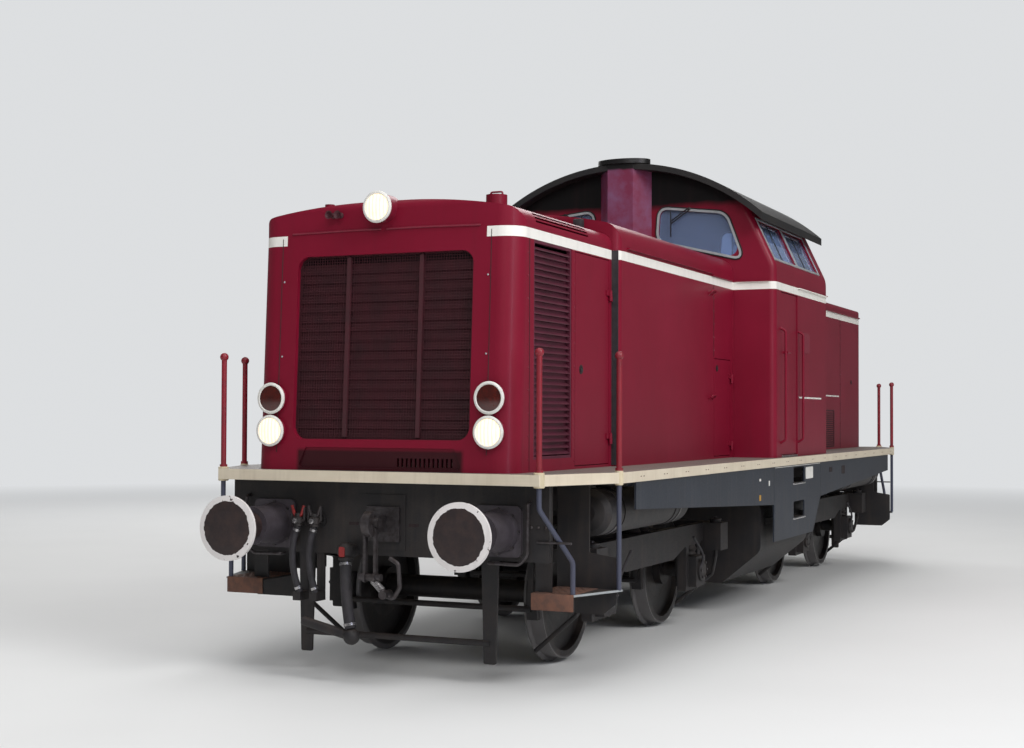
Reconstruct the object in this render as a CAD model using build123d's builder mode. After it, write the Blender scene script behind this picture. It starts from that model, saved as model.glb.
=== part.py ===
from build123d import *
from math import atan2, cos, degrees, pi, radians, sqrt, tan
import os

os.makedirs("parts", exist_ok=True)

# A four-axle diesel locomotive with the cab between a long and a short hood.
# X runs along it towards the long hood's end, Y to its left side, Z up, in mm.
# Heights are above the rail's top plus FLANGE, as z is 0 under the flanges.

# driving sizes
FLANGE = 28
LENGTH = 12100
GAUGE_BACK = 1360
WHEEL_R = 475
PIVOT_X = 3000
AXLE_HALF = 1100
AXLE_Z = FLANGE + WHEEL_R

HEAD_X = 5430
HEAD_T = 40
DECK_TOP = FLANGE + 1415
BAND = 75
DECK_X = 5620
DECK_END_Y = 1245
DECK_Y = 1550
TAPER_X = 4870
DECK_T = 12

STRIPE_TOP = FLANGE + 3068
STRIPE = 70
SKIN = 40
NOSE_Y = 1015
NOSE_X = 5530
NOSE_LEAN = 80
NOSE_R = 150
STEP_X = 3700
WIDE_Y = 1075
CAB_X = 628
CAB_REAR = -1441
CAB_Y = 1485
SHORT_X = -5480

ROOF_SKIN = 30
NOSE_CROWN = FLANGE + 3290
WIDE_CROWN = FLANGE + 3395
SHORT_CROWN = FLANGE + 3235

CAB_TOP = FLANGE + 4240
CAB_ROOF_R = 2100
CAB_ROOF_Y = 1400
CAB_ROOF_T = 55
CAB_ROOF_X = 790
CAB_ROOF_REAR = -1603
CAB_WAIST = FLANGE + 3230
CAB_EAVE_Y = 1245
CAB_EAVE = FLANGE + 3740
CAB_WALL = 50
LEAN = (CAB_Y - CAB_EAVE_Y) / (CAB_EAVE - CAB_WAIST)
WAIST_R = 260

SIDES = (1, -1)
ENDS = (1, -1)


def block(x0, x1, y0, y1, z0, z1, mode=Mode.ADD):
    """A box between two corners, in the part being built."""
    with Locations(((x0 + x1) / 2, (y0 + y1) / 2, (z0 + z1) / 2)):
        Box(abs(x1 - x0), abs(y1 - y0), abs(z1 - z0), mode=mode)


def rod(start, end, radius, mode=Mode.ADD):
    """A round bar from one point to another, in the part being built."""
    run = Vector(*end) - Vector(*start)
    with BuildSketch(Plane(origin=start, z_dir=run)) as end_face:
        Circle(radius)
    extrude(end_face.sketch, amount=run.length, mode=mode)


def turned(start, along, profile, mode=Mode.ADD):
    """A turned piece from pairs of distance and radius along an axis, in the part being built."""
    side_dir = (1, 0, 0) if along[2] else (0, 0, 1)
    with BuildSketch(Plane(origin=start, x_dir=along, z_dir=side_dir)) as half:
        with BuildLine():
            Polyline((profile[0][0], 0), *profile, (profile[-1][0], 0), close=True)
        make_face()
    revolve(half.sketch, axis=Axis(start, along), mode=mode)


def cross(x):
    """The plane across the locomotive at x, its own axes being Y and Z."""
    return Plane(origin=(x, 0, 0), x_dir=(0, 1, 0), z_dir=(1, 0, 0))


def upright(y):
    """The plane along the locomotive at y, its own axes being X and Z."""
    return Plane(origin=(0, y, 0), x_dir=(1, 0, 0), z_dir=(0, -1, 0))


def save(part, name):
    """Names a sub-part and writes its file."""
    part.part.label = name
    export_step(part.part, f"parts/{name}.step")


def arch(plane, half, base, crown, rise, shoulder):
    """A roof's outline on a plane: upright sides, a flat arch and round shoulders."""
    with BuildSketch(Plane.XY) as flat:
        with BuildLine():
            ThreePointArc((-half, crown - rise), (0, crown), (half, crown - rise))
            Polyline((half, crown - rise), (half, base), (-half, base), (-half, crown - rise))
        make_face()
        fillet(flat.vertices().group_by(Axis.Y)[-1], radius=shoulder)
    return plane * flat.sketch


def side_view(y, x0, x1, z0, z1, bend):
    """A side view with round upper corners, as a face on the plane at y."""
    with BuildSketch(upright(y)) as face:
        with BuildLine():
            FilletPolyline((x0, z0), (x0, z1), (x1, z1), (x1, z0), radius=bend)
            Line((x1, z0), (x0, z0))
        make_face()
    return face.sketch


def pipe(points, bend, radius):
    """A round pipe through the points, its corners bent, in the part being built."""
    with BuildLine() as route:
        FilletPolyline(*points, radius=bend)
    path = route.wires()[0]
    with BuildSketch(Plane(origin=path @ 0, z_dir=path % 0)) as end_face:
        Circle(radius)
    sweep(end_face.sketch, path=path)


def outline(plane, points, bend):
    """A face on a plane through the points, all its corners round."""
    with BuildSketch(plane) as face:
        with BuildLine():
            FilletPolyline(*points, radius=bend, close=True)
        make_face()
    return face.sketch


def spring(start, height, radius, wire):
    """An upright coil spring as a turned solid with one bulge for each coil, in the part being built."""
    coils = int(height / (2.2 * wire))
    pitch = height / coils
    wave = []
    for i in range(coils):
        wave += [(pitch * (i + 0.25), radius), (pitch * (i + 0.75), radius - wire)]
    turned(start, (0, 0, 1), [(0, radius - wire), *wave, (height, radius - wire)])


# underframe: two sills, headstocks and cross beams, with the bogies' pivot and spring seats
SILL_Y = 480
SILL_W = 120
FRAME_BOTTOM = FLANGE + 1060
FRAME_TOP = DECK_TOP - DECK_T
HEAD_Y = 1235
HEAD_BOTTOM = FLANGE + 830
HEAD_PANEL_Y = 169
PIN_R = 110
PIN_GAP = 1
SEAT_R = 260
GUARD_X = 5250
GUARD_Y = 725
GUARD_T = 10
GUARD_TOP_W = 66
GUARD_LOW_W = 44
GUARD_LOW = FLANGE + 110
GUARD_BAR = FLANGE + 250
GUARD_BAR_R = 22
BEAMS = (-4480, -PIVOT_X, -1300, 0, 1300, PIVOT_X, 4480)
BEAM_W = 40
BEAM_H = 100
BEAM_END = 1440
SPRING_Y = 950
SPRING_X = 105
SPRING_R = 90
SPRING_SEAT = FRAME_TOP - BEAM_H - 20

with BuildPart() as frame:
    for side in SIDES:
        block(-HEAD_X + HEAD_T, HEAD_X - HEAD_T, side * (SILL_Y - SILL_W / 2), side * (SILL_Y + SILL_W / 2),
              FRAME_BOTTOM, FRAME_TOP)
    for end in ENDS:
        block(end * (HEAD_X - HEAD_T), end * HEAD_X, -HEAD_Y, HEAD_Y, HEAD_BOTTOM, FRAME_TOP)
        block(end * HEAD_X, end * (HEAD_X + 6), -HEAD_PANEL_Y, HEAD_PANEL_Y, HEAD_BOTTOM + 40, FRAME_TOP - 150)
        with Locations((end * PIVOT_X, 0, (FRAME_BOTTOM + FRAME_TOP) / 2)):
            Cylinder(SEAT_R, FRAME_TOP - FRAME_BOTTOM)
            Cylinder(PIN_R + PIN_GAP, FRAME_TOP - FRAME_BOTTOM, mode=Mode.SUBTRACT)
    for x in BEAMS:
        for side in SIDES:
            block(x - BEAM_W, x + BEAM_W, side * SILL_Y, side * BEAM_END, FRAME_TOP - BEAM_H, FRAME_TOP)
        if abs(x) == PIVOT_X:
            for side in SIDES:
                block(x - 60, x + 60, side * (SEAT_R - 40), side * SILL_Y, FRAME_BOTTOM, FRAME_TOP)
                block(x - 2 * SPRING_X, x + 2 * SPRING_X, side * (SPRING_Y - SPRING_R - 10),
                      side * (SPRING_Y + SPRING_R + 10), SPRING_SEAT, FRAME_TOP - BEAM_H)
        else:
            block(x - BEAM_W, x + BEAM_W, -SILL_Y, SILL_Y, FRAME_TOP - 200, FRAME_TOP)
    # tapered rail guards on brackets, with the bar between them
    for end in ENDS:
        for side in SIDES:
            y = side * GUARD_Y
            extrude(outline(cross(end * GUARD_X - GUARD_T), ((y - GUARD_TOP_W, HEAD_BOTTOM + 60),
                                                             (y + GUARD_TOP_W, HEAD_BOTTOM + 60),
                                                             (y + GUARD_LOW_W, GUARD_LOW),
                                                             (y - GUARD_LOW_W, GUARD_LOW)), 12),
                    amount=2 * GUARD_T)
            block(end * GUARD_X, end * (HEAD_X - HEAD_T), y - 60, y + 60, HEAD_BOTTOM + 40, HEAD_BOTTOM + 60)
        rod((end * GUARD_X, -GUARD_Y, GUARD_BAR), (end * GUARD_X, GUARD_Y, GUARD_BAR), GUARD_BAR_R)
save(frame, "frame")

# walkway deck, narrower at its ends, with the light band round its edge
with BuildPart() as deck:
    corners = [(x, side * y) for side in SIDES
               for x, y in ((-side * DECK_X, DECK_END_Y), (-side * TAPER_X, DECK_Y), (side * TAPER_X, DECK_Y),
                            (side * DECK_X, DECK_END_Y))]
    with BuildSketch(Plane.XY.offset(DECK_TOP - DECK_T)):
        with BuildLine():
            Polyline(*corners, close=True)
        make_face()
    extrude(amount=DECK_T)
    with BuildSketch(Plane.XY.offset(DECK_TOP - BAND)):
        with BuildLine():
            Polyline(*corners, close=True)
        make_face()
        offset(amount=-15, mode=Mode.SUBTRACT)
    extrude(amount=BAND - DECK_T)
save(deck, "deck")

# side skirts below the band, ahead of and behind the tank
SKIRT_Y = 1532
SKIRT_T = 14
SKIRT_X = 4577
SKIRT_TOP = DECK_TOP - BAND
SKIRT_END = FLANGE + 1147
SKIRT_MID = FLANGE + 990
TANK_FRONT = 850
TANK_REAR = -978
SIDE_LOW = FLANGE + 650
PANEL_GAP = 4

with BuildPart() as skirts:
    for side in SIDES:
        for end, inner in ((1, TANK_FRONT + PANEL_GAP), (-1, TANK_REAR - PANEL_GAP)):
            with BuildSketch(upright(side * SKIRT_Y)):
                with BuildLine():
                    Polyline((end * SKIRT_X, SKIRT_TOP), (end * SKIRT_X, SKIRT_END), (inner, SKIRT_MID),
                             (inner, SKIRT_TOP), close=True)
                make_face()
            extrude(amount=side * SKIRT_T)
        for x in BEAMS:
            if x:
                block(x - 30, x + 30, side * BEAM_END, side * (SKIRT_Y - SKIRT_T), FRAME_TOP - BEAM_H,
                      SKIRT_TOP)
save(skirts, "skirts")

# panels over the tank's sides, with the foot holes under the cab doors
FOOT_X = -80
FOOT_W = 430
FOOT_H = 155
FOOT_Z = (FLANGE + 1236, FLANGE + 909)

with BuildPart() as side_panels:
    for side in SIDES:
        with BuildSketch(upright(side * SKIRT_Y)):
            with BuildLine():
                Polyline((TANK_FRONT, SKIRT_TOP), (TANK_FRONT, SIDE_LOW), (TANK_REAR + 330, SIDE_LOW),
                         (TANK_REAR, SKIRT_MID), (TANK_REAR, SKIRT_TOP), close=True)
            make_face()
            with Locations(*[(FOOT_X, z) for z in FOOT_Z]):
                RectangleRounded(FOOT_W, FOOT_H, 25, mode=Mode.SUBTRACT)
        extrude(amount=side * SKIRT_T)
        block(-30, 30, side * BEAM_END, side * (SKIRT_Y - SKIRT_T), SKIRT_TOP - 22, SKIRT_TOP)
save(side_panels, "side_panels")

# fuel tank between the bogies, its sides turning in under the skirts to a narrow bottom
TANK_Y = 1400
TANK_TOP = FRAME_BOTTOM - 20
TANK_SLOPE = FLANGE + 560
TANK_BOTTOM = FLANGE + 250
TANK_LOW_Y = 1030
TANK_BEND = 120
TANK_ARMS = (-670, 670)

with BuildPart() as fuel_tank:
    section = ((-TANK_Y, TANK_TOP), (-TANK_Y, TANK_SLOPE), (-TANK_LOW_Y, TANK_BOTTOM),
               (TANK_LOW_Y, TANK_BOTTOM), (TANK_Y, TANK_SLOPE), (TANK_Y, TANK_TOP))
    extrude(outline(cross(TANK_REAR + 60), section, TANK_BEND), amount=TANK_FRONT - TANK_REAR - 70)
    for x in (TANK_REAR + 160, TANK_FRONT - 160):
        for side in SIDES:
            block(x - 50, x + 50, side * 420, side * 540, TANK_TOP - 20, FRAME_BOTTOM)
    # arms that hold the panels over the tank's sides
    for x in TANK_ARMS:
        for side in SIDES:
            block(x - 30, x + 30, side * (TANK_Y - 20), side * (SKIRT_Y - SKIRT_T), SIDE_LOW + 150,
                  SIDE_LOW + 210)
save(fuel_tank, "fuel_tank")

# air tanks with domed ends, hung beside the sills over the bogies
AIR_R = 165
AIR_Z = FLANGE + 1120
AIR_Y = 1230
AIR_X0 = 2900
AIR_X1 = 4750

with BuildPart() as air_tanks:
    for side in SIDES:
        for end in ENDS:
            length = AIR_X1 - AIR_X0
            shape = ((0, 60), (25, 125), (60, AIR_R), (length - 60, AIR_R), (length - 25, 125), (length, 60))
            turned((end * AIR_X0, side * AIR_Y, AIR_Z), (end, 0, 0), shape)
            for x in (end * (AIR_X0 + 350), end * (AIR_X1 - 350)):
                rod((x - 30, side * AIR_Y, AIR_Z), (x + 30, side * AIR_Y, AIR_Z), AIR_R + 6)
                block(x - 25, x + 25, side * AIR_Y - 60, side * AIR_Y + 60, AIR_Z + 100, FRAME_TOP)
save(air_tanks, "air_tanks")

# buffers: sleeves bolted to the headstocks, and plungers with round heads
BUFFER_Y = 875
BUFFER_Z = FLANGE + 1030
REACH = LENGTH / 2 - HEAD_X
BUFFER_R = 221
BASE_HALF = 170
SLEEVE = ((20, 152), (60, 138), (230, 126), (290, 122), (290, 134), (330, 134))
PLUNGER = ((330, 96), (REACH - 80, 96), (REACH - 60, 130), (REACH - 35, 205), (REACH - 30, BUFFER_R),
           (REACH - 8, BUFFER_R), (REACH - 4, 190), (REACH, 120))

with BuildPart() as buffer_sleeves:
    for end in ENDS:
        for side in SIDES:
            with BuildSketch(cross(end * HEAD_X)):
                with Locations((side * BUFFER_Y, BUFFER_Z)):
                    RectangleRounded(2 * BASE_HALF, 2 * BASE_HALF, 40)
            extrude(amount=end * 25)
            turned((end * HEAD_X, side * BUFFER_Y, BUFFER_Z), (end, 0, 0), SLEEVE)
save(buffer_sleeves, "buffer_sleeves")

with BuildPart() as buffer_heads:
    for end in ENDS:
        for side in SIDES:
            turned((end * HEAD_X, side * BUFFER_Y, BUFFER_Z), (end, 0, 0), PLUNGER)
save(buffer_heads, "buffer_heads")

# draw hooks and screw couplings, hanging as in the photo
HOOK_Z = FLANGE + 1050
HOOK_X = HEAD_X + 190
HOOK_R = 88
HOOK_T = 60
EYE_R = 34
LINK_DROP = 350
LINK_R = 36
LINK_T = 20
NUT = (120, 590)
BOW = ((150, 835), (215, 800), (228, 640), (NUT[0] + 50, 555))

with BuildPart() as drawgear:
    for end in ENDS:
        block(end * (HEAD_X + 6), end * (HEAD_X + 26), -130, 130, HOOK_Z - 120, HOOK_Z + 120)
        block(end * (HEAD_X + 26), end * (HOOK_X - 40), -HOOK_T / 2, HOOK_T / 2, HOOK_Z - 50, HOOK_Z + 50)
        with BuildSketch(upright(HOOK_T / 2)):
            with Locations((end * HOOK_X, HOOK_Z + 10)):
                Circle(HOOK_R)
            # the jaw, open at the top and back
            with Locations((end * (HOOK_X - 20), HOOK_Z + 70)):
                Rectangle(44, 90, rotation=end * 20, mode=Mode.SUBTRACT)
            with Locations((end * HOOK_X, HOOK_Z + 20)):
                Circle(EYE_R - 6, mode=Mode.SUBTRACT)
        extrude(amount=HOOK_T)
        # two links from the pin down to the screw's upper nut
        for y in (-HOOK_T / 2 - LINK_T, HOOK_T / 2):
            with BuildSketch(upright(y + LINK_T)):
                with Locations((end * HOOK_X, HOOK_Z + 20), (end * HOOK_X, HOOK_Z - LINK_DROP)):
                    Circle(LINK_R)
                with Locations((end * HOOK_X, HOOK_Z + 10 - LINK_DROP / 2)):
                    Rectangle(34, LINK_DROP)
            extrude(amount=LINK_T)
        rod((end * HOOK_X, -68, HOOK_Z + 20), (end * HOOK_X, 68, HOOK_Z + 20), EYE_R)
        rod((end * HOOK_X, -85, HOOK_Z - LINK_DROP), (end * HOOK_X, 85, HOOK_Z - LINK_DROP), 26)
        # the screw, its lower nut and the bow
        low = (end * HOOK_X, end * NUT[0], FLANGE + NUT[1])
        rod((end * HOOK_X, 0, HOOK_Z - LINK_DROP), low, 22)
        rod((end * (HOOK_X - 50), low[1], low[2]), (end * (HOOK_X + 50), low[1], low[2]), 30)
        pipe([(end * HOOK_X, end * y, FLANGE + z) for y, z in BOW] + [low], 30, 15)
save(drawgear, "drawgear")

# ends of the brake and heating pipes on the headstocks, with the holders for their hoses
COCK_Y = (640, 505)
COCK_Z = FLANGE + 1060
COCK_X = 90
HEAT_Y = 240
HEAT_Z = FLANGE + 800
HOSE_R = 23
HEAT_R = 39
HOLDER_Z = FLANGE + 560
ELBOW = (5610, -150, FLANGE + 290)
TAIL = (5600, -540, FLANGE + 375)
COCK_NECK = ((0, 46), (14, 46), (14, 28), (COCK_X + 20, 28))
COCK_BODY = ((0, 31), (18, 31), (22, 38), (62, 38), (66, 22), (90, 22))
LEVER_Y = 50
LEVER_TOP = FLANGE + 1165
STAY_Y = -345

with BuildPart() as pipe_ends:
    for end in ENDS:
        for y in COCK_Y:
            x = end * (HEAD_X + COCK_X)
            turned((end * HEAD_X, -end * y, COCK_Z), (end, 0, 0), COCK_NECK)
            turned((x, -end * y, COCK_Z - 40), (0, 0, 1), COCK_BODY)
            # the forked lever over the cock
            for arm in SIDES:
                rod((x, -end * y + arm * LEVER_Y, COCK_Z), (x, -end * y + arm * LEVER_Y, LEVER_TOP), 9)
            rod((x, -end * y - LEVER_Y, COCK_Z), (x, -end * y + LEVER_Y, COCK_Z), 12)
            block(end * (HEAD_X - 30), end * (HEAD_X + COCK_X), -end * y - 40, -end * y + 20, HOLDER_Z - 60,
                  HOLDER_Z)
            block(end * (HEAD_X - 30), end * (HEAD_X - 10), -end * y - 40, -end * y + 20, HOLDER_Z,
                  HEAD_BOTTOM)
        valve = (end * (HEAD_X + 110), -end * HEAT_Y, HEAT_Z)
        rod((end * HEAD_X, -end * HEAT_Y, HEAT_Z + 60), (valve[0], valve[1], HEAT_Z + 60), 45)
        turned(valve, (0, 0, 1), ((0, 52), (16, 52), (24, 44), (40, 58), (95, 58), (115, 40), (125, 22)))
    with Locations(ELBOW):
        Sphere(58)
    rod(ELBOW, TAIL, 32)
    # the stay that holds the elbow, just clear of the guards' bar
    rod((GUARD_X + GUARD_BAR_R + 0.6, STAY_Y, GUARD_BAR), (ELBOW[0], STAY_Y, GUARD_BAR + 70), 14)
save(pipe_ends, "pipe_ends")

# hoses that hang free at the long hood's end: name, radius and points of the route
HOSES = (
    ("brake_hose_1", HOSE_R, ((5520, -640, COCK_Z - 40), (5548, -722, FLANGE + 808), (5505, -630, HOLDER_Z))),
    ("brake_hose_2", HOSE_R, ((5520, -505, COCK_Z - 40), (5548, -582, FLANGE + 812), (5505, -500, HOLDER_Z))),
    ("heating_hose", HEAT_R, ((5540, -240, HEAT_Z), (5590, -215, FLANGE + 570), (5610, -158, ELBOW[2] + 52))),
)
ARC_SHARE = 0.45

for name, radius, route in HOSES:
    first = Vector(*route[1]) - Vector(*route[0])
    second = Vector(*route[2]) - Vector(*route[1])
    turn = radians(first.get_angle(second))
    bend = ARC_SHARE * min(first.length, second.length) / tan(turn / 2)
    with BuildPart() as hose:
        pipe(route, bend, radius)
    length = first.length + second.length - bend * (2 * tan(turn / 2) - turn)
    print(name, "bend radius", round(bend), "length", round(length), "volume share",
          round(hose.part.volume / (pi * radius * radius * length), 3))
    save(hose, name)

# corner posts with ball tops, and the grab rails that carry the steps' outer edges
POST_R = 19
POST_TOP = FLANGE + 2210
CORNER = (5582, 1227)
SECOND = (4889, 1521)
STEP_Z = FLANGE + 615
STEP_FRONT = (5300, 1350)
STEP_IN_Y = 1060
RAIL_R = 17

with BuildPart() as posts:
    for end in ENDS:
        for side in SIDES:
            for x, y in (CORNER, SECOND):
                rod((end * x, side * y, DECK_TOP), (end * x, side * y, POST_TOP), POST_R)
                rod((end * x, side * y, DECK_TOP), (end * x, side * y, DECK_TOP + 30), POST_R + 8)
                with Locations((end * x, side * y, POST_TOP)):
                    Sphere(POST_R * 1.6)
            x, y = SECOND
            rod((end * x, side * y, STEP_Z), (end * x, side * y, SKIRT_TOP), RAIL_R)
            x, y = CORNER
            pipe(((end * x, side * y, SKIRT_TOP), (end * x, side * y, FLANGE + 1190),
                  (end * STEP_FRONT[0], side * STEP_FRONT[1], FLANGE + 830),
                  (end * STEP_FRONT[0], side * STEP_FRONT[1], STEP_Z)), 60, RAIL_R)
save(posts, "corner_posts")

# steps: corner treads with deep front boards, hung from the frame, and a shelf behind each foot hole
SHELF = 20
SHELF_IN_Y = 1422
TREAD_T = 14
BOARD_H = 110
HANGER_T = 12
HANGER_LOW = FLANGE + 440

with BuildPart() as steps:
    for end in ENDS:
        for side in SIDES:
            front = end * (STEP_FRONT[0] + 25)
            rear = end * (SECOND[0] - 25)
            with BuildSketch(Plane.XY.offset(STEP_Z - TREAD_T)):
                with BuildLine():
                    Polyline((front, side * (STEP_FRONT[1] + 15)), (rear, side * (SECOND[1] + 12)),
                             (rear, side * STEP_IN_Y), (front, side * STEP_IN_Y), close=True)
                make_face()
            extrude(amount=TREAD_T)
            block(front, front - end * 14, side * STEP_IN_Y, side * (STEP_FRONT[1] + 15), STEP_Z - BOARD_H,
                  STEP_Z)
            # the rear hanger, cut back under the tread
            hanger = ((side * STEP_IN_Y, FRAME_TOP), (side * 1300, FRAME_TOP), (side * 1300, FLANGE + 860),
                      (side * 1500, FLANGE + 830), (side * 1500, FLANGE + 520), (side * 1400, HANGER_LOW),
                      (side * STEP_IN_Y, HANGER_LOW))
            extrude(outline(cross(rear), hanger, 10), amount=end * HANGER_T)
            block(end * (STEP_FRONT[0] - 60), end * (STEP_FRONT[0] - 48), side * STEP_IN_Y,
                  side * (STEP_IN_Y + 120), STEP_Z, FRAME_TOP)
    for side in SIDES:
        for z in FOOT_Z:
            block(FOOT_X - FOOT_W / 2 - SHELF, FOOT_X + FOOT_W / 2 + SHELF, side * (SKIRT_Y - SKIRT_T),
                  side * SHELF_IN_Y, z - FOOT_H / 2 - SHELF, z - FOOT_H / 2)
save(steps, "steps")

# nose walls: open below and behind, leaning back a little, with grille and door openings
GRILLE_Y = 690
GRILLE_Z0 = FLANGE + 1631
GRILLE_Z1 = FLANGE + 2915
RECESS_Y = 640
RECESS_Z1 = FLANGE + 1575
RECESS_D = 18
VENTS = 13
VENT_Y0 = 140
VENT_STEP = 34
VENT_W = 16
VENT_Z0 = FLANGE + 1445
VENT_Z1 = FLANGE + 1505
SIDE_GRILLE_X0 = 4510
SIDE_GRILLE_X1 = 5190
SIDE_GRILLE_Z0 = FLANGE + 1500
NOSE_DOOR_X0 = 3765
NOSE_DOOR_X1 = 4450
DOOR_Z0 = DECK_TOP + 20
DOOR_Z1 = STRIPE_TOP - STRIPE - 10
DOOR_T = 40
DOOR_GAP = 6


def plan(z, front, half, rear, inset):
    """The hood's plan at height z, its front corners round, inset by a wall."""
    radius = NOSE_R - inset
    x = front - inset
    y = half - inset
    with BuildSketch(Plane.XY.offset(z)) as outline:
        with BuildLine():
            Line((rear, -y), (x - radius, -y))
            JernArc((x - radius, -y), (1, 0), radius, 90)
            Line((x, radius - y), (x, y - radius))
            JernArc((x, y - radius), (0, 1), radius, 90)
            Line((x - radius, y), (rear, y))
            Line((rear, y), (rear, -y))
        make_face()
    return outline.sketch


HINGE_R = 13
HINGE_PIN_R = 6
HINGE_GAP = 0.5
HINGE_OUT = 16
HINGE_H = 40
STRAP_W = 60
STRAP_T = 10
HINGE_AT = (0.15, 0.85)


def hinge_axis(x0, y, out):
    """Where a door's hinge line stands, given its rear edge and the face that carries it."""
    return x0 + DOOR_GAP / 2, y + out * HINGE_OUT


def leaf_hinges(x0, y, out, z0, z1):
    """The knuckles and straps on a door, bored for the pins, in the part being built."""
    x, axis_y = hinge_axis(x0, y, out)
    for share in HINGE_AT:
        z = z0 + share * (z1 - z0)
        block(x, x + STRAP_W, y, y + out * STRAP_T, z - HINGE_H, z)
        block(x, x + HINGE_R, y, axis_y, z - HINGE_H, z)
        rod((x, axis_y, z - HINGE_H), (x, axis_y, z), HINGE_R)
        rod((x, axis_y, z - HINGE_H), (x, axis_y, z), HINGE_PIN_R + HINGE_GAP, Mode.SUBTRACT)


def wall_hinges(x0, y, out, z0, z1):
    """The knuckles under a door's own, with pins standing up into them."""
    x, axis_y = hinge_axis(x0, y, out)
    for share in HINGE_AT:
        z = z0 + share * (z1 - z0) - HINGE_H - HINGE_GAP
        block(x - STRAP_W, x - DOOR_GAP / 2, y, y + out * STRAP_T, z - HINGE_H, z)
        block(x - HINGE_R, x - DOOR_GAP / 2, y, axis_y, z - HINGE_H, z)
        rod((x, axis_y, z - HINGE_H), (x, axis_y, z), HINGE_R)
        rod((x, axis_y, z - HINGE_H), (x, axis_y, z + HINGE_H), HINGE_PIN_R)


def door(x0, x1, y, z0, z1, out):
    """A door filling its opening but for the gap all round, hinged on its face at y towards out."""
    with BuildPart() as leaf:
        block(x0 + DOOR_GAP, x1 - DOOR_GAP, y - out * DOOR_T, y, z0 + DOOR_GAP, z1 - DOOR_GAP)
        leaf_hinges(x0, y, out, z0, z1)
    return leaf


with BuildPart() as nose_form:
    low = plan(DECK_TOP, NOSE_X, NOSE_Y, STEP_X, 0)
    high = plan(STRIPE_TOP, NOSE_X - NOSE_LEAN, NOSE_Y, STEP_X, 0)
    loft([low, high], ruled=True)

with BuildPart() as nose:
    add(nose_form.part)
    low = plan(DECK_TOP - 0.01, NOSE_X, NOSE_Y, STEP_X - 1, SKIN)
    high = plan(STRIPE_TOP + 0.01, NOSE_X - NOSE_LEAN, NOSE_Y, STEP_X - 1, SKIN)
    loft([low, high], ruled=True, mode=Mode.SUBTRACT)
    with BuildSketch(cross(NOSE_X)):
        with Locations((0, (GRILLE_Z0 + GRILLE_Z1) / 2)):
            RectangleRounded(2 * GRILLE_Y, GRILLE_Z1 - GRILLE_Z0, 90)
    extrude(amount=-300, mode=Mode.SUBTRACT)
    # the recess under the grille, with a row of vents
    recess = ((-RECESS_Y, DECK_TOP + 20), (RECESS_Y, DECK_TOP + 20), (RECESS_Y - 60, RECESS_Z1),
              (60 - RECESS_Y, RECESS_Z1))
    extrude(outline(cross(NOSE_X + 5), recess, 18), amount=-5 - RECESS_D, mode=Mode.SUBTRACT)
    for i in range(VENTS):
        y = VENT_Y0 + i * VENT_STEP
        block(NOSE_X - 120, NOSE_X, y, y + VENT_W, VENT_Z0, VENT_Z1, Mode.SUBTRACT)
    for side in SIDES:
        block(SIDE_GRILLE_X0, SIDE_GRILLE_X1, side * (NOSE_Y - 60), side * (NOSE_Y + 10), SIDE_GRILLE_Z0,
              STRIPE_TOP - STRIPE, Mode.SUBTRACT)
        block(NOSE_DOOR_X0, NOSE_DOOR_X1, side * (NOSE_Y - 60), side * (NOSE_Y + 10), DOOR_Z0, DOOR_Z1,
              Mode.SUBTRACT)
        wall_hinges(NOSE_DOOR_X0, side * NOSE_Y, side, DOOR_Z0, DOOR_Z1)
save(nose, "nose_walls")

# front grille: sloping slats in a frame behind two upright bars
SEATING = 0.1
SLAT_STEP = 68
SLAT_T = 6
SLAT_W = 74
SLAT_TILT = 68
SLAT_BACK = 20
GRILLE_BAR_Y = 286

with BuildPart() as front_grille:
    lean = NOSE_LEAN / (STRIPE_TOP - DECK_TOP)
    face = Plane(origin=(NOSE_X - SKIN - SEATING, 0, DECK_TOP), x_dir=(0, 1, 0), z_dir=(1, 0, lean))
    height = GRILLE_Z1 - GRILLE_Z0
    base = GRILLE_Z0 - DECK_TOP
    with BuildSketch(face):
        with Locations((0, base + height / 2)):
            RectangleRounded(2 * GRILLE_Y + 60, height + 60, 110)
            RectangleRounded(2 * GRILLE_Y - 20, height - 20, 80, mode=Mode.SUBTRACT)
    extrude(amount=-25)
    with BuildSketch(face):
        with Locations((-GRILLE_BAR_Y, base + height / 2), (GRILLE_BAR_Y, base + height / 2)):
            Rectangle(30, height + 20)
    extrude(amount=-25)
    with BuildSketch(face):
        with Locations((-GRILLE_BAR_Y, base + height / 2), (GRILLE_BAR_Y, base + height / 2)):
            Rectangle(30, height - 30)
    extrude(amount=20)
    for i in range(int(height / SLAT_STEP)):
        z = base + SLAT_STEP * (i + 0.6)
        with Locations(face * Location((0, z, -SLAT_BACK), (SLAT_TILT, 0, 0))):
            Box(2 * GRILLE_Y, SLAT_T, SLAT_W)
save(front_grille, "front_grille")

# side grilles: sloping slats in a frame, one each side
SIDE_SLAT_STEP = 44

with BuildPart() as side_grilles:
    top = STRIPE_TOP - STRIPE
    middle = (SIDE_GRILLE_X0 + SIDE_GRILLE_X1) / 2
    wide = SIDE_GRILLE_X1 - SIDE_GRILLE_X0
    for side in SIDES:
        with BuildSketch(upright(side * (NOSE_Y - 4))):
            with Locations((middle, (SIDE_GRILLE_Z0 + top) / 2)):
                Rectangle(wide, top - SIDE_GRILLE_Z0)
                Rectangle(wide - 40, top - SIDE_GRILLE_Z0 - 40, mode=Mode.SUBTRACT)
        extrude(amount=side * 30)
        for i in range(int((top - SIDE_GRILLE_Z0 - 30) / SIDE_SLAT_STEP)):
            z = SIDE_GRILLE_Z0 + 38 + SIDE_SLAT_STEP * i
            with Locations(Location((middle, side * (NOSE_Y - 20), z), (side * -40, 0, 0))):
                Box(wide - 30, 30, 6)
save(side_grilles, "side_grilles")

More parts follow.
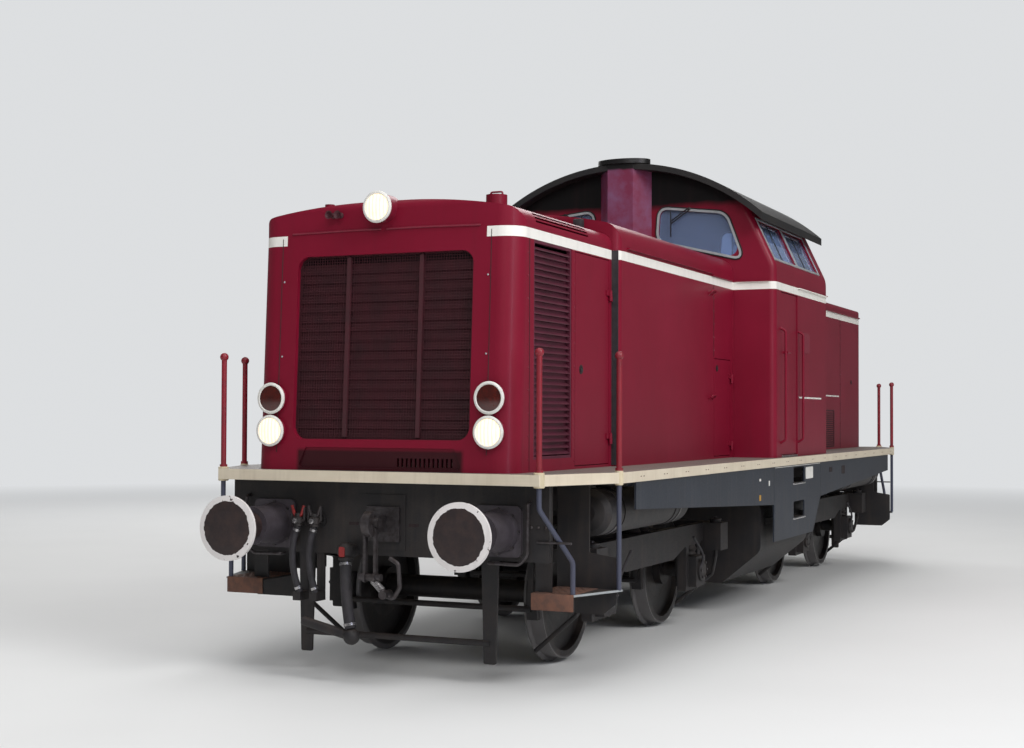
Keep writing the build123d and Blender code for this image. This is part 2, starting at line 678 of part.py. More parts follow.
# doors at the nose's sides
for side, word in ((1, "left"), (-1, "right")):
    save(door(NOSE_DOOR_X0, NOSE_DOOR_X1, side * NOSE_Y, DOOR_Z0, DOOR_Z1, side), f"nose_door_{word}")

# wide hood walls with round front edges, the engine doors' openings and two lifting handles each side
ENGINE_DOOR_X0 = 720
ENGINE_DOOR_X1 = 1240
ENGINE_DOOR_Z1 = FLANGE + 2330
EDGE_R = 60
HANDLE_X = 1300
HANDLE_W = 110
HANDLE_Z = (FLANGE + 2935, FLANGE + 1990)

with BuildPart() as wide_walls:
    with BuildSketch(Plane.XY.offset(DECK_TOP)) as shell:
        Rectangle(STEP_X - CAB_X, 2 * WIDE_Y, align=(Align.MIN, Align.CENTER))
        fillet(shell.vertices().group_by(Axis.X)[-1], radius=EDGE_R)
        Rectangle(STEP_X - CAB_X - SKIN, 2 * (WIDE_Y - SKIN), align=(Align.MIN, Align.CENTER),
                  mode=Mode.SUBTRACT)
        with Locations((STEP_X - CAB_X - SKIN, 0)):
            Rectangle(SKIN, 2 * (NOSE_Y - SKIN - 60), align=(Align.MIN, Align.CENTER), mode=Mode.SUBTRACT)
    extrude(shell.sketch.moved(Location((CAB_X, 0, 0))), amount=STRIPE_TOP - DECK_TOP)
    for side in SIDES:
        block(ENGINE_DOOR_X0, ENGINE_DOOR_X1, side * (WIDE_Y - 60), side * (WIDE_Y + 10), DOOR_Z0,
              ENGINE_DOOR_Z1, Mode.SUBTRACT)
        wall_hinges(ENGINE_DOOR_X0, side * WIDE_Y, side, DOOR_Z0, ENGINE_DOOR_Z1)
        for z in HANDLE_Z:
            x0 = HANDLE_X
            x1 = HANDLE_X + HANDLE_W
            root = side * (WIDE_Y - 5)
            grip = side * (WIDE_Y + 45)
            pipe(((x0, root, z - 40), (x0, grip, z), (x1, grip, z), (x1, root, z - 40)), 20, 8)
save(wide_walls, "wide_hood_walls")

for side, word in ((1, "left"), (-1, "right")):
    leaf = door(ENGINE_DOOR_X0, ENGINE_DOOR_X1, side * WIDE_Y, DOOR_Z0, ENGINE_DOOR_Z1, side)
    save(leaf, f"engine_door_{word}")

# hood roofs, the nose's with round front edges, slots in its shoulders and a filler cap
FAN_X = 4300
FAN_R = 560
HORN_X = 5200
HORN_Y = -590
HORN_TOP = FLANGE + 3316
NOSE_TOP_X = NOSE_X - NOSE_LEAN
NOSE_RISE = 100
NOSE_SHOULDER = 110
ROOF_EDGE_R = 70
SLOT_X0 = 4186
SLOT_X1 = 5154
SLOT_Z = (FLANGE + 3118, FLANGE + 3144, FLANGE + 3170)
SLOT_H = 14
CAP = (4990, 640)
CAP_R = 75
CAP_TOP = FLANGE + 3345
WIDE_RISE = 130
WIDE_SHOULDER = 150
STRIP_T = 12
STRIP_OUT = 22

with BuildPart() as nose_room:
    extrude(arch(cross(STEP_X - 1), NOSE_Y - SKIN, STRIPE_TOP - 1, NOSE_CROWN - ROOF_SKIN, NOSE_RISE, 90),
            amount=NOSE_TOP_X - STEP_X)
    extrude(plan(STRIPE_TOP - 1, NOSE_TOP_X, NOSE_Y, STEP_X - 1, SKIN), amount=NOSE_CROWN - STRIPE_TOP,
            mode=Mode.INTERSECT)

with BuildPart() as nose_roof:
    extrude(arch(cross(STEP_X), NOSE_Y, STRIPE_TOP, NOSE_CROWN, NOSE_RISE, NOSE_SHOULDER),
            amount=NOSE_TOP_X - STEP_X)
    extrude(plan(STRIPE_TOP, NOSE_TOP_X, NOSE_Y, STEP_X, 0), amount=NOSE_CROWN - STRIPE_TOP + 10,
            mode=Mode.INTERSECT)
    extrude(side_view(NOSE_Y, STEP_X - 2 * ROOF_EDGE_R, NOSE_TOP_X, STRIPE_TOP, NOSE_CROWN, ROOF_EDGE_R),
            amount=2 * NOSE_Y, mode=Mode.INTERSECT)
    add(nose_room.part, mode=Mode.SUBTRACT)
    with Locations((FAN_X, 0, NOSE_CROWN)):
        Cylinder(FAN_R + 20, 400, mode=Mode.SUBTRACT)
    for side in SIDES:
        for z in SLOT_Z:
            block(SLOT_X0, SLOT_X1, side * (NOSE_Y - 130), side * (NOSE_Y + 10), z, z + SLOT_H, Mode.SUBTRACT)
    rod((HORN_X, HORN_Y, NOSE_CROWN - 70), (HORN_X, HORN_Y, HORN_TOP), 35)
    rod((*CAP, NOSE_CROWN - 80), (*CAP, CAP_TOP), CAP_R)
save(nose_roof, "nose_roof")

with BuildPart() as wide_roof:
    with BuildSketch(Plane.XY.offset(STRIPE_TOP)) as shell:
        Rectangle(STEP_X - CAB_X, 2 * WIDE_Y, align=(Align.MIN, Align.CENTER))
        fillet(shell.vertices().group_by(Axis.X)[-1], radius=EDGE_R)
    extrude(arch(cross(CAB_X), WIDE_Y, STRIPE_TOP, WIDE_CROWN, WIDE_RISE, WIDE_SHOULDER),
            amount=STEP_X - CAB_X)
    extrude(shell.sketch.moved(Location((CAB_X, 0, 0))), amount=WIDE_CROWN, mode=Mode.INTERSECT)
    extrude(side_view(WIDE_Y, CAB_X - 2 * ROOF_EDGE_R, STEP_X, STRIPE_TOP, WIDE_CROWN, ROOF_EDGE_R),
            amount=2 * WIDE_Y, mode=Mode.INTERSECT)
    extrude(arch(cross(CAB_X), WIDE_Y - SKIN, STRIPE_TOP - 1, WIDE_CROWN - ROOF_SKIN, WIDE_RISE, 130),
            amount=STEP_X - CAB_X - SKIN, mode=Mode.SUBTRACT)
    extrude(arch(cross(STEP_X + 1), NOSE_Y - SKIN, STRIPE_TOP - 1, NOSE_CROWN - ROOF_SKIN, NOSE_RISE, 90),
            amount=-SKIN - 2, mode=Mode.SUBTRACT)
    # rain strips over the stripe: ends and height
    for x0, x1, z in ((1316, 3530, STRIPE_TOP + 24), (700, 1316, STRIPE_TOP + 4)):
        for side in SIDES:
            block(x0, x1, side * (WIDE_Y - 10), side * (WIDE_Y + STRIP_OUT), z, z + STRIP_T)
save(wide_roof, "wide_roof")

# radiator fan in the nose roof, in a ring with spokes, under a grille
FAN_Z = NOSE_CROWN - 190

with BuildPart() as fan_ring:
    with Locations((FAN_X, 0, NOSE_CROWN - 130)):
        Cylinder(FAN_R + 20, 260)
        Cylinder(FAN_R, 260, mode=Mode.SUBTRACT)
    for angle in (45, 135):
        with Locations(Location((FAN_X, 0, NOSE_CROWN - 245), (0, 0, angle))):
            Box(2 * FAN_R + 10, 60, 30)
    for radius in (250, 380, 500):
        with Locations((FAN_X, 0, NOSE_CROWN - 8)):
            Cylinder(radius + 6, 12)
            Cylinder(radius - 6, 12, mode=Mode.SUBTRACT)
    for i in range(6):
        with Locations(Location((FAN_X, 0, NOSE_CROWN - 8), (0, 0, 30 * i))):
            Box(2 * FAN_R + 10, 16, 16)
    with Locations((FAN_X, 0, NOSE_CROWN - 8)):
        Cylinder(120, 16)
    with Locations((FAN_X, 0, NOSE_CROWN - 195)):
        Cylinder(25, 90)
save(fan_ring, "fan_ring")

with BuildPart() as fan:
    with Locations((FAN_X, 0, FAN_Z + 50)):
        Cylinder(110, 120)
        Cylinder(26, 120, mode=Mode.SUBTRACT)
    with Locations((FAN_X, 0, FAN_Z + 90)):
        Cylinder(110, 40)
    for i in range(8):
        with Locations(Location((FAN_X, 0, FAN_Z + 50), (0, 0, 45 * i)) * Location((320, 0, 0), (35, 0, 0))):
            Box(440, 130, 10)
save(fan, "fan_rotor")

# short hood, its far corners and roof edge round
SHORT_RISE = 60
SHORT_SHOULDER = 60

with BuildPart() as short_walls:
    extrude(plan(DECK_TOP, -SHORT_X, NOSE_Y, -CAB_REAR, 0).rotate(Axis.Z, 180), amount=STRIPE_TOP - DECK_TOP)
    extrude(plan(DECK_TOP, -SHORT_X, NOSE_Y, -CAB_REAR, SKIN).rotate(Axis.Z, 180),
            amount=STRIPE_TOP - DECK_TOP, mode=Mode.SUBTRACT)
save(short_walls, "short_hood_walls")

with BuildPart() as short_roof:
    extrude(arch(cross(SHORT_X), NOSE_Y, STRIPE_TOP, SHORT_CROWN, SHORT_RISE, SHORT_SHOULDER),
            amount=CAB_REAR - SHORT_X)
    extrude(plan(STRIPE_TOP, -SHORT_X, NOSE_Y, -CAB_REAR, 0).rotate(Axis.Z, 180),
            amount=SHORT_CROWN - STRIPE_TOP + 10, mode=Mode.INTERSECT)
    extrude(side_view(NOSE_Y, SHORT_X, CAB_REAR + 2 * ROOF_EDGE_R, STRIPE_TOP, SHORT_CROWN, ROOF_EDGE_R),
            amount=2 * NOSE_Y, mode=Mode.INTERSECT)
    extrude(arch(cross(SHORT_X + SKIN), NOSE_Y - SKIN, STRIPE_TOP - 1, SHORT_CROWN - ROOF_SKIN, SHORT_RISE,
                 45), amount=CAB_REAR - SHORT_X - SKIN, mode=Mode.SUBTRACT)
    # the gutter over the stripe
    for side in SIDES:
        block(SHORT_X + NOSE_R, CAB_REAR, side * (NOSE_Y - 10), side * (NOSE_Y + STRIP_OUT), STRIPE_TOP + 4,
              STRIPE_TOP + 4 + STRIP_T)
save(short_roof, "short_hood_roof")

# cab walls, leaning in above the waist, with windows, doorways, gutters and handrails
CAB_DOOR_X0 = -215
CAB_DOOR_X1 = 415
CAB_DOOR_Z0 = DECK_TOP + 20
CAB_DOOR_Z1 = STRIPE_TOP - 80
RAIL_GAP = 25
RAIL_Z0 = FLANGE + 1550
RAIL_Z1 = FLANGE + 2640
RAIL_OUT = 50
LEVER_X = (300, 184)
LEVER_Z = FLANGE + 2413


def lean_y(z, inset):
    """How far out the leaning part of a cab wall stands at height z, in from the outside by inset."""
    return CAB_EAVE_Y + (CAB_EAVE - z) * LEAN - inset * sqrt(1 + LEAN * LEAN)


def cab_outline(plane, inset):
    """The cab's cross-section, leaning in above the waist, under the roof's arch."""
    y = CAB_Y - inset
    waist = CAB_WAIST - inset * (sqrt(1 + LEAN * LEAN) - 1) / LEAN
    top = lean_y(CAB_TOP, inset)
    with BuildSketch(plane) as face:
        with BuildLine():
            FilletPolyline((-y, DECK_TOP), (y, DECK_TOP), (y, waist), (top, CAB_TOP), (-top, CAB_TOP),
                           (-y, waist), radius=(0, 0, WAIST_R - inset, 0, 0, WAIST_R - inset), close=True)
        make_face()
        with Locations((0, CAB_TOP - CAB_ROOF_R)):
            Circle(CAB_ROOF_R - CAB_ROOF_T, mode=Mode.INTERSECT)
    return face.sketch


WINDOW = ((1160, FLANGE + 3300), (330, FLANGE + 3500), (350, FLANGE + 3800), (1000, FLANGE + 3725))
WINDOW_R = 70
SIDE_WINDOWS = ((-1190, -330), (-280, 560))
SIDE_GLASS_Z0 = FLANGE + 3290
SIDE_GLASS_Z1 = FLANGE + 3660

with BuildPart() as cab_walls:
    extrude(cab_outline(cross(CAB_REAR), 0), amount=CAB_X - CAB_REAR)
    corners = [edge for edge in cab_walls.edges()
               if edge.center().X > CAB_X - 1 and abs(edge.center().Y) > CAB_ROOF_Y - 350
               and edge.center().Z > DECK_TOP + 1]
    fillet(corners, radius=EDGE_R)
    extrude(cab_outline(cross(CAB_REAR + CAB_WALL), CAB_WALL), amount=CAB_X - CAB_REAR - 2 * CAB_WALL,
            mode=Mode.SUBTRACT)
    for x in (CAB_X, CAB_REAR + CAB_WALL):
        for side in SIDES:
            extrude(outline(cross(x), [(side * y, z) for y, z in WINDOW], WINDOW_R), amount=-CAB_WALL,
                    mode=Mode.SUBTRACT)
    for side in SIDES:
        for x0, x1 in SIDE_WINDOWS:
            block(x0, x1, side * 1100, side * 1600, SIDE_GLASS_Z0, SIDE_GLASS_Z1, Mode.SUBTRACT)
        block(CAB_DOOR_X0, CAB_DOOR_X1, side * (CAB_Y - CAB_WALL - 10), side * (CAB_Y + 10), CAB_DOOR_Z0,
              CAB_DOOR_Z1, Mode.SUBTRACT)
        wall_hinges(CAB_DOOR_X0, side * (CAB_Y - CAB_WALL), -side, CAB_DOOR_Z0, CAB_DOOR_Z1)
        # gutters over the side and the front corner
        block(CAB_REAR, CAB_DOOR_X0, side * (CAB_Y - 10), side * (CAB_Y + STRIP_OUT), STRIPE_TOP - 6,
              STRIPE_TOP - 6 + STRIP_T)
        block(CAB_X - 20, CAB_X + STRIP_OUT, side * (WIDE_Y + STRIP_OUT + 10), side * (CAB_Y - EDGE_R),
              STRIPE_TOP, STRIPE_TOP + STRIP_T)
        for x in (CAB_DOOR_X0 - RAIL_GAP, CAB_DOOR_X1 + RAIL_GAP):
            pipe(((x, side * (CAB_Y - 5), RAIL_Z0), (x, side * (CAB_Y + RAIL_OUT), RAIL_Z0 + 30),
                  (x, side * (CAB_Y + RAIL_OUT), RAIL_Z1 - 30), (x, side * (CAB_Y - 5), RAIL_Z1)), 25, 12)
save(cab_walls, "cab_walls")

for side, word in ((1, "left"), (-1, "right")):
    inner = side * (CAB_Y - CAB_WALL)
    with BuildPart() as cab_door:
        add(door(CAB_DOOR_X0, CAB_DOOR_X1, inner, CAB_DOOR_Z0, CAB_DOOR_Z1, -side).part)
        # the lever on its spindle
        outside = inner + side * DOOR_T
        grip = outside + side * 40
        rod((LEVER_X[0], outside - side * 5, LEVER_Z), (LEVER_X[0], outside + side * 48, LEVER_Z), 13)
        rod((LEVER_X[0], grip, LEVER_Z), (LEVER_X[1], grip, LEVER_Z), 9)
    save(cab_door, f"cab_door_{word}")

# cab roof, an arched slab reaching past the walls
STACK_X = 795
STACK_FRONT = 130
STACK_REAR = 262
STACK_TOP = CAB_TOP


def stack_plan(z):
    """The exhaust stack's plan at height z, wide at the cab's front wall."""
    with BuildSketch(Plane.XY.offset(z)) as face:
        with BuildLine():
            Polyline((CAB_X, -STACK_REAR), (STACK_X, -STACK_FRONT), (STACK_X, STACK_FRONT),
                     (CAB_X, STACK_REAR), close=True)
        make_face()
    return face.sketch


with BuildPart() as cab_roof:
    with BuildSketch(cross(CAB_ROOF_REAR)):
        outer = CAB_TOP - CAB_ROOF_R + sqrt(CAB_ROOF_R ** 2 - CAB_ROOF_Y ** 2)
        inner_r = CAB_ROOF_R - CAB_ROOF_T
        inner = CAB_TOP - CAB_ROOF_R + sqrt(inner_r ** 2 - CAB_ROOF_Y ** 2)
        with BuildLine():
            ThreePointArc((-CAB_ROOF_Y, outer), (0, CAB_TOP), (CAB_ROOF_Y, outer))
            Line((CAB_ROOF_Y, outer), (CAB_ROOF_Y, inner))
            ThreePointArc((CAB_ROOF_Y, inner), (0, CAB_TOP - CAB_ROOF_T), (-CAB_ROOF_Y, inner))
            Line((-CAB_ROOF_Y, inner), (-CAB_ROOF_Y, outer))
        make_face()
    extrude(amount=CAB_ROOF_X - CAB_ROOF_REAR)
    extrude(stack_plan(STACK_TOP - 300), amount=600, mode=Mode.SUBTRACT)
save(cab_roof, "cab_roof")

with BuildPart() as stack:
    extrude(stack_plan(WIDE_CROWN - WIDE_RISE), amount=STACK_TOP - WIDE_CROWN + WIDE_RISE)
    extrude(arch(cross(CAB_X), WIDE_Y, STRIPE_TOP, WIDE_CROWN, WIDE_RISE, WIDE_SHOULDER),
            amount=STACK_X - CAB_X + 10, mode=Mode.SUBTRACT)
    with BuildSketch(Plane.XY.offset(STACK_TOP)):
        with Locations((CAB_X + 60, 0)):
            Ellipse(150, 265)
    extrude(amount=45)
save(stack, "exhaust_stack")

# window glass, set in the middle of the walls
GLASS = 8
with BuildPart() as cab_glass:
    for x in (CAB_X - 20, CAB_REAR + 20 + GLASS):
        for side in SIDES:
            extrude(outline(cross(x), [(side * y, z) for y, z in WINDOW], WINDOW_R), amount=-GLASS)
    angle = atan2(LEAN, 1)
    middle = (SIDE_GLASS_Z0 + SIDE_GLASS_Z1) / 2
    tall = (SIDE_GLASS_Z1 - SIDE_GLASS_Z0) / cos(angle) - GLASS * tan(angle)
    for side in SIDES:
        for x0, x1 in SIDE_WINDOWS:
            place = ((x0 + x1) / 2, side * lean_y(middle, CAB_WALL / 2), middle)
            with Locations(Location(place, (side * degrees(angle), 0, 0))):
                Box(x1 - x0, GLASS, tall)
save(cab_glass, "cab_glass")

# cab floor with the driver's desk, its sloping top and two seats on posts
FLOOR_T = 15
DESK_D = 420
DESK_Y = 880
DESK_H = 1350
DESK_SLOPE = 160
SEATS = ((-250, 480), (-650, -480))
SEAT_Z = 900

with BuildPart() as fittings:
    floor = DECK_TOP + FLOOR_T
    block(CAB_REAR + CAB_WALL, CAB_X - CAB_WALL, -CAB_Y + CAB_WALL, CAB_Y - CAB_WALL, DECK_TOP, floor)
    with BuildSketch(upright(DESK_Y)):
        with BuildLine():
            Polyline((CAB_X - CAB_WALL, floor), (CAB_X - CAB_WALL, floor + DESK_H),
                     (CAB_X - CAB_WALL - DESK_D / 3, floor + DESK_H),
                     (CAB_X - CAB_WALL - DESK_D, floor + DESK_H - DESK_SLOPE),
                     (CAB_X - CAB_WALL - DESK_D + 80, floor), close=True)
        make_face()
    extrude(amount=2 * DESK_Y)
    for x, y in SEATS:
        rod((x, y, floor), (x, y, floor + SEAT_Z), 45)
        rod((x, y, floor), (x, y, floor + 20), 160)
        with BuildSketch(Plane.XY.offset(floor + SEAT_Z)):
            with Locations((x, y)):
                RectangleRounded(420, 420, 60)
        extrude(amount=80)
        with BuildSketch(cross(x - 230)):
            with Locations((y, floor + SEAT_Z + 300)):
                RectangleRounded(420, 500, 60)
        extrude(amount=60)
save(fittings, "cab_fittings")

# lamps: bodies with raised rims round their glass, and the top lamps on the roofs' ends
LAMP_Y = 851
LAMP_LOW = FLANGE + 1687
LAMP_HIGH = FLANGE + 1915
LAMP_TOP = FLANGE + 3226
LAMP_R = 105
LAMP_OUT = 45
TOP_LAMP_OUT = 110


def lamp(start, end, length):
    """A lamp facing end along X: a round body, a rim and glass behind it, in the part being built."""
    turned(start, (end, 0, 0), ((0, LAMP_R - 7), (length - 16, LAMP_R - 7), (length - 14, LAMP_R),
                                (length, LAMP_R), (length, LAMP_R - 16), (length - 5, LAMP_R - 18)))


with BuildPart() as lamps:
    for end in ENDS:
        wall = NOSE_X - NOSE_LEAN - 30 if end > 0 else -SHORT_X
        roof = NOSE_X - NOSE_LEAN - 60 if end > 0 else -SHORT_X - 60
        for side in SIDES:
            for z in (LAMP_LOW, LAMP_HIGH):
                reach = NOSE_X - NOSE_LEAN * (z - DECK_TOP) / (STRIPE_TOP - DECK_TOP) if end > 0 else wall
                lamp((end * wall, side * LAMP_Y, z), end, reach + LAMP_OUT - wall)
        lamp((end * roof, 0, LAMP_TOP), end, TOP_LAMP_OUT + 60)
    add(nose_form.part, mode=Mode.SUBTRACT)
    add(nose_roof.part, mode=Mode.SUBTRACT)
    add(nose_room.part, mode=Mode.SUBTRACT)
    add(short_roof.part, mode=Mode.SUBTRACT)
save(lamps, "lamps")

# heavy masses inside, as plain blocks
with BuildPart() as engine:
    block(1350, 3500, -480, 480, DECK_TOP, DECK_TOP + 1450)
save(engine, "engine_block")

with BuildPart() as transmission:
    block(100, 1200, -SILL_Y + SILL_W / 2, SILL_Y - SILL_W / 2, FRAME_TOP - 340, FRAME_TOP)
save(transmission, "transmission_block")

with BuildPart() as boiler:
    block(-4900, -2900, -480, 480, DECK_TOP, DECK_TOP + 1400)
save(boiler, "boiler_block")

# running gear: wheelsets turned from one section
BOGIE_Y = 1050
BOGIE_W = 80
BEAM_Z0 = FLANGE + 690
BEAM_Z1 = FLANGE + 860
BEAM_LOW = FLANGE + 600
BEAM_X = 1700
TRANSOM_X = 575
BOX_HALF = 125
LEG_W = 70
LEG_LOW = FLANGE + 300
WEB_R = 140
JOURNAL_R = 65
AXLE_END = 1130


def wheelset_profile():
    """Half a wheelset's section as distance from the middle and radius."""
    back = GAUGE_BACK / 2
    face = back + 135
    return ((0, 85), (back - 10, 85), (back - 10, WEB_R), (back + 55, WEB_R), (back + 45, 250),
            (back + 60, 410), (back, 418), (back, WHEEL_R + 15), (back + 10, WHEEL_R + FLANGE),
            (back + 22, WHEEL_R + FLANGE), (back + 36, WHEEL_R), (face, WHEEL_R - 3), (face, 418), (back + 88, 410), (back + 75, 250),
            (back + 85, WEB_R), (back + 150, WEB_R), (back + 150, JOURNAL_R), (AXLE_END, JOURNAL_R))


number = 0
for end in ENDS:
    for axle in (end * AXLE_HALF, -end * AXLE_HALF):
        number += 1
        x = end * PIVOT_X + axle
        half = wheelset_profile()
        with BuildPart() as wheelset:
            with BuildSketch(Plane(origin=(x, 0, AXLE_Z), x_dir=(0, 1, 0), z_dir=(1, 0, 0))):
                with BuildLine():
                    Polyline((AXLE_END, 0), *reversed(half), *[(-y, r) for y, r in half[1:]], (-AXLE_END, 0),
                             close=True)
                make_face()
            revolve(axis=Axis((x, 0, AXLE_Z), (0, 1, 0)))
        save(wheelset, f"wheelset_{number}")


# bogies: side frames cut from plate with legs for the axle boxes, cross members, springs and sand gear
def side_frame(mid):
    """Half a side frame's outline from the middle out, mirrored to the whole, as X and Z."""
    inner = AXLE_HALF - BOX_HALF
    outer = AXLE_HALF + BOX_HALF
    half = [(0, BEAM_LOW), (TRANSOM_X, BEAM_LOW), (inner - LEG_W, BEAM_Z0), (inner - LEG_W, LEG_LOW),
            (inner, LEG_LOW), (inner, BEAM_Z0), (outer, BEAM_Z0), (outer, LEG_LOW), (outer + LEG_W, LEG_LOW),
            (outer + LEG_W, BEAM_Z0), (BEAM_X, BEAM_Z0 + 70), (BEAM_X, BEAM_Z1)]
    return [(mid + x, z) for x, z in half[1:]] + [(mid - x, z) for x, z in reversed(half[1:])]


LEG_BEND = 22
SPRING_WIRE = 22
BOX_R = 95
SAND_X = 1500
SAND_HALF = 110
SAND_Z0 = FLANGE + 620
SAND_Z1 = FLANGE + 860
SAND_Y = 1250
SHOE_HALF = 42
SHOE_MID = 757
SHOE_GAP = 8
SHOE_T = 50
CROSS_LOW = BEAM_Z0 + 75

for end, word in ((1, "front"), (-1, "rear")):
    mid = end * PIVOT_X
    with BuildPart() as bogie:
        for side in SIDES:
            extrude(outline(upright(side * BOGIE_Y + BOGIE_W / 2), side_frame(mid), LEG_BEND), amount=BOGIE_W)
            for axle in (-AXLE_HALF, AXLE_HALF):
                block(mid + axle - BOX_HALF, mid + axle + BOX_HALF, side * (BOGIE_Y - 30),
                      side * (BOGIE_Y + 30), LEG_LOW, LEG_LOW + 30)
            for x in (-SPRING_X, SPRING_X):
                spring((mid + x, side * SPRING_Y, BEAM_Z1), SPRING_SEAT - 6 - BEAM_Z1, SPRING_R, SPRING_WIRE)
            with Locations((mid, side * SILL_Y, (BEAM_Z1 + FRAME_BOTTOM - 6) / 2)):
                Cylinder(130, FRAME_BOTTOM - 6 - BEAM_Z1)
            # sandboxes on the frame's ends, with pipes to the wheels
            for out in (-1, 1):
                x = mid + out * SAND_X
                block(x - SAND_HALF, x + SAND_HALF, side * (BOGIE_Y + BOGIE_W / 2), side * SAND_Y, SAND_Z0,
                      SAND_Z1)
                rod((x, side * (SAND_Y - 80), SAND_Z1), (x, side * (SAND_Y - 80), SAND_Z1 + 25), 50)
                pipe(((x, side * (SAND_Y - 80), SAND_Z0 + 10), (x, side * (SAND_Y - 80), SAND_Z0 - 60),
                      (mid + out * (SAND_X + 120), side * 1100, FLANGE + 390),
                      (mid + out * (SAND_X + 70), side * 765, FLANGE + 110)), 25, 17)
        # cross members: place along the bogie, half-width
        for x, wide in ((-BEAM_X + 40, 40), (-TRANSOM_X, 25), (0, 200), (TRANSOM_X, 25), (BEAM_X - 40, 40)):
            block(mid + x - wide, mid + x + wide, -BOGIE_Y, BOGIE_Y, CROSS_LOW, BEAM_Z1)
        with Locations((mid, 0, (BEAM_Z1 + FRAME_TOP - 40) / 2)):
            Cylinder(PIN_R, FRAME_TOP - 40 - BEAM_Z1)
    save(bogie, f"bogie_frame_{word}")

    with BuildPart() as boxes:
        for side in SIDES:
            for axle in (-AXLE_HALF, AXLE_HALF):
                x = mid + axle
                block(x - BOX_HALF, x + BOX_HALF, side * (BOGIE_Y - 80), side * (BOGIE_Y + 110), AXLE_Z - 140,
                      AXLE_Z + 120)
                turned((x, side * (BOGIE_Y + 110), AXLE_Z), (0, side, 0), ((0, BOX_R), (18, BOX_R), (30, 65)))
                rod((x, side * (BOGIE_Y - 81), AXLE_Z), (x, side * (AXLE_END + 8), AXLE_Z), JOURNAL_R + 1,
                    Mode.SUBTRACT)
                spring((x, side * BOGIE_Y, AXLE_Z + 120), BEAM_Z0 - AXLE_Z - 120, 70, 16)
    save(boxes, f"axle_boxes_{word}")

    with BuildPart() as brakes:
        for axle in (-AXLE_HALF, AXLE_HALF):
            for face in (-1, 1):
                x = mid + axle + face * (WHEEL_R + SHOE_GAP + SHOE_T)
                for side in SIDES:
                    # the shoe, curved to the tread, and its hanger
                    with BuildSketch(upright(side * SHOE_MID + SHOE_HALF)):
                        with Locations((mid + axle, AXLE_Z)):
                            Circle(WHEEL_R + SHOE_GAP + SHOE_T)
                            Circle(WHEEL_R + SHOE_GAP, mode=Mode.SUBTRACT)
                        with Locations((x, AXLE_Z)):
                            Rectangle(200, 280, mode=Mode.INTERSECT)
                    extrude(amount=2 * SHOE_HALF)
                    block(x - 12, x + 18, side * (SHOE_MID - 18), side * (SHOE_MID + 18), AXLE_Z - 60,
                          CROSS_LOW)
                rod((x + face * 10, -SHOE_MID, AXLE_Z - 60), (x + face * 10, SHOE_MID, AXLE_Z - 60), 22)
    save(brakes, f"brake_gear_{word}")
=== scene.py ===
"""A four-axle diesel locomotive dressed for the eye: finishes, lamps, grilles, pipes and small fittings."""

import logging
import math
from dataclasses import dataclass
from enum import IntEnum

import bmesh
import bpy
from mathutils import Matrix, Vector


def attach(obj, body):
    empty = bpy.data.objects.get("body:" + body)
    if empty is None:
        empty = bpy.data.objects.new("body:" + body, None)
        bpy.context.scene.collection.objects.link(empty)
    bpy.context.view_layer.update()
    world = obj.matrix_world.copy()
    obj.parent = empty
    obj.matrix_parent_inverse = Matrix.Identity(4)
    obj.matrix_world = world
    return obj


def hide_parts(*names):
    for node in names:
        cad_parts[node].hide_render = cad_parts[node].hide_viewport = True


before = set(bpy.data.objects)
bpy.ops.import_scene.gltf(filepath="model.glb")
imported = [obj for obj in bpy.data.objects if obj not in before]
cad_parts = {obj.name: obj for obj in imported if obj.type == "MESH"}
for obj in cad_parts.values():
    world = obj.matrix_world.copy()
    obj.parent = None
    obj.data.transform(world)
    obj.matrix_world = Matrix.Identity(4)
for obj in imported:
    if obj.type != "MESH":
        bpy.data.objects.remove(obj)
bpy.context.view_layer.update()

LOG = logging.getLogger("locomotive")

# places shared by the pieces, in metres, as the construction has them
FLANGE = 0.028
DECK_TOP = FLANGE + 1.415
BAND = 0.075
HEAD_X = 5.43
NOSE_X = 5.53
NOSE_LEAN = 0.08
NOSE_Y = 1.015
WIDE_Y = 1.075
STEP_X = 3.7
CAB_X = 0.628
CAB_REAR = -1.441
CAB_Y = 1.485
SHORT_X = -5.48
STRIPE_TOP = FLANGE + 3.068
STRIPE = 0.07
CAB_TOP = FLANGE + 4.24
CAB_EAVE = FLANGE + 3.74
CAB_EAVE_Y = 1.245
CAB_LEAN = 0.4706
NOSE_CROWN = FLANGE + 3.29
SKIRT_Y = 1.532
PIVOT_X = 3.0
AXLE_X = 1.1
AXLE_Z = FLANGE + 0.475
WHEEL_R = 0.475
BUFFER_Y = 0.875
BUFFER_Z = FLANGE + 1.03
ENDS = (1, -1)
# how many times longer than wide a rain streak is
STREAK_STRETCH = 14
# how many short stretches make a bend, and the angle in degrees past which an edge stays sharp
BEND_STEPS = 5
SHARP = 35
# the body that carries every piece but those that say otherwise
UNDERFRAME = "underframe"

Point = tuple[float, float, float]
Pair = tuple[float, float]
Colour = tuple[float, float, float, float]
Tree = bpy.types.NodeTree
Socket = bpy.types.NodeSocket


def lean_x(z: float) -> float:
    """Finds where the nose's leaning front face stands.

    Args:
        z: Height over the frame's base, in metres.

    Returns:
        The face's x at that height.
    """
    return NOSE_X - NOSE_LEAN * (z - DECK_TOP) / (STRIPE_TOP - DECK_TOP)


def wall_y(z: float) -> float:
    """Finds where the cab's leaning side wall stands.

    Args:
        z: Height over the frame's base, in metres.

    Returns:
        The wall's y on the left side at that height.
    """
    return CAB_EAVE_Y + (CAB_EAVE - z) * CAB_LEAN


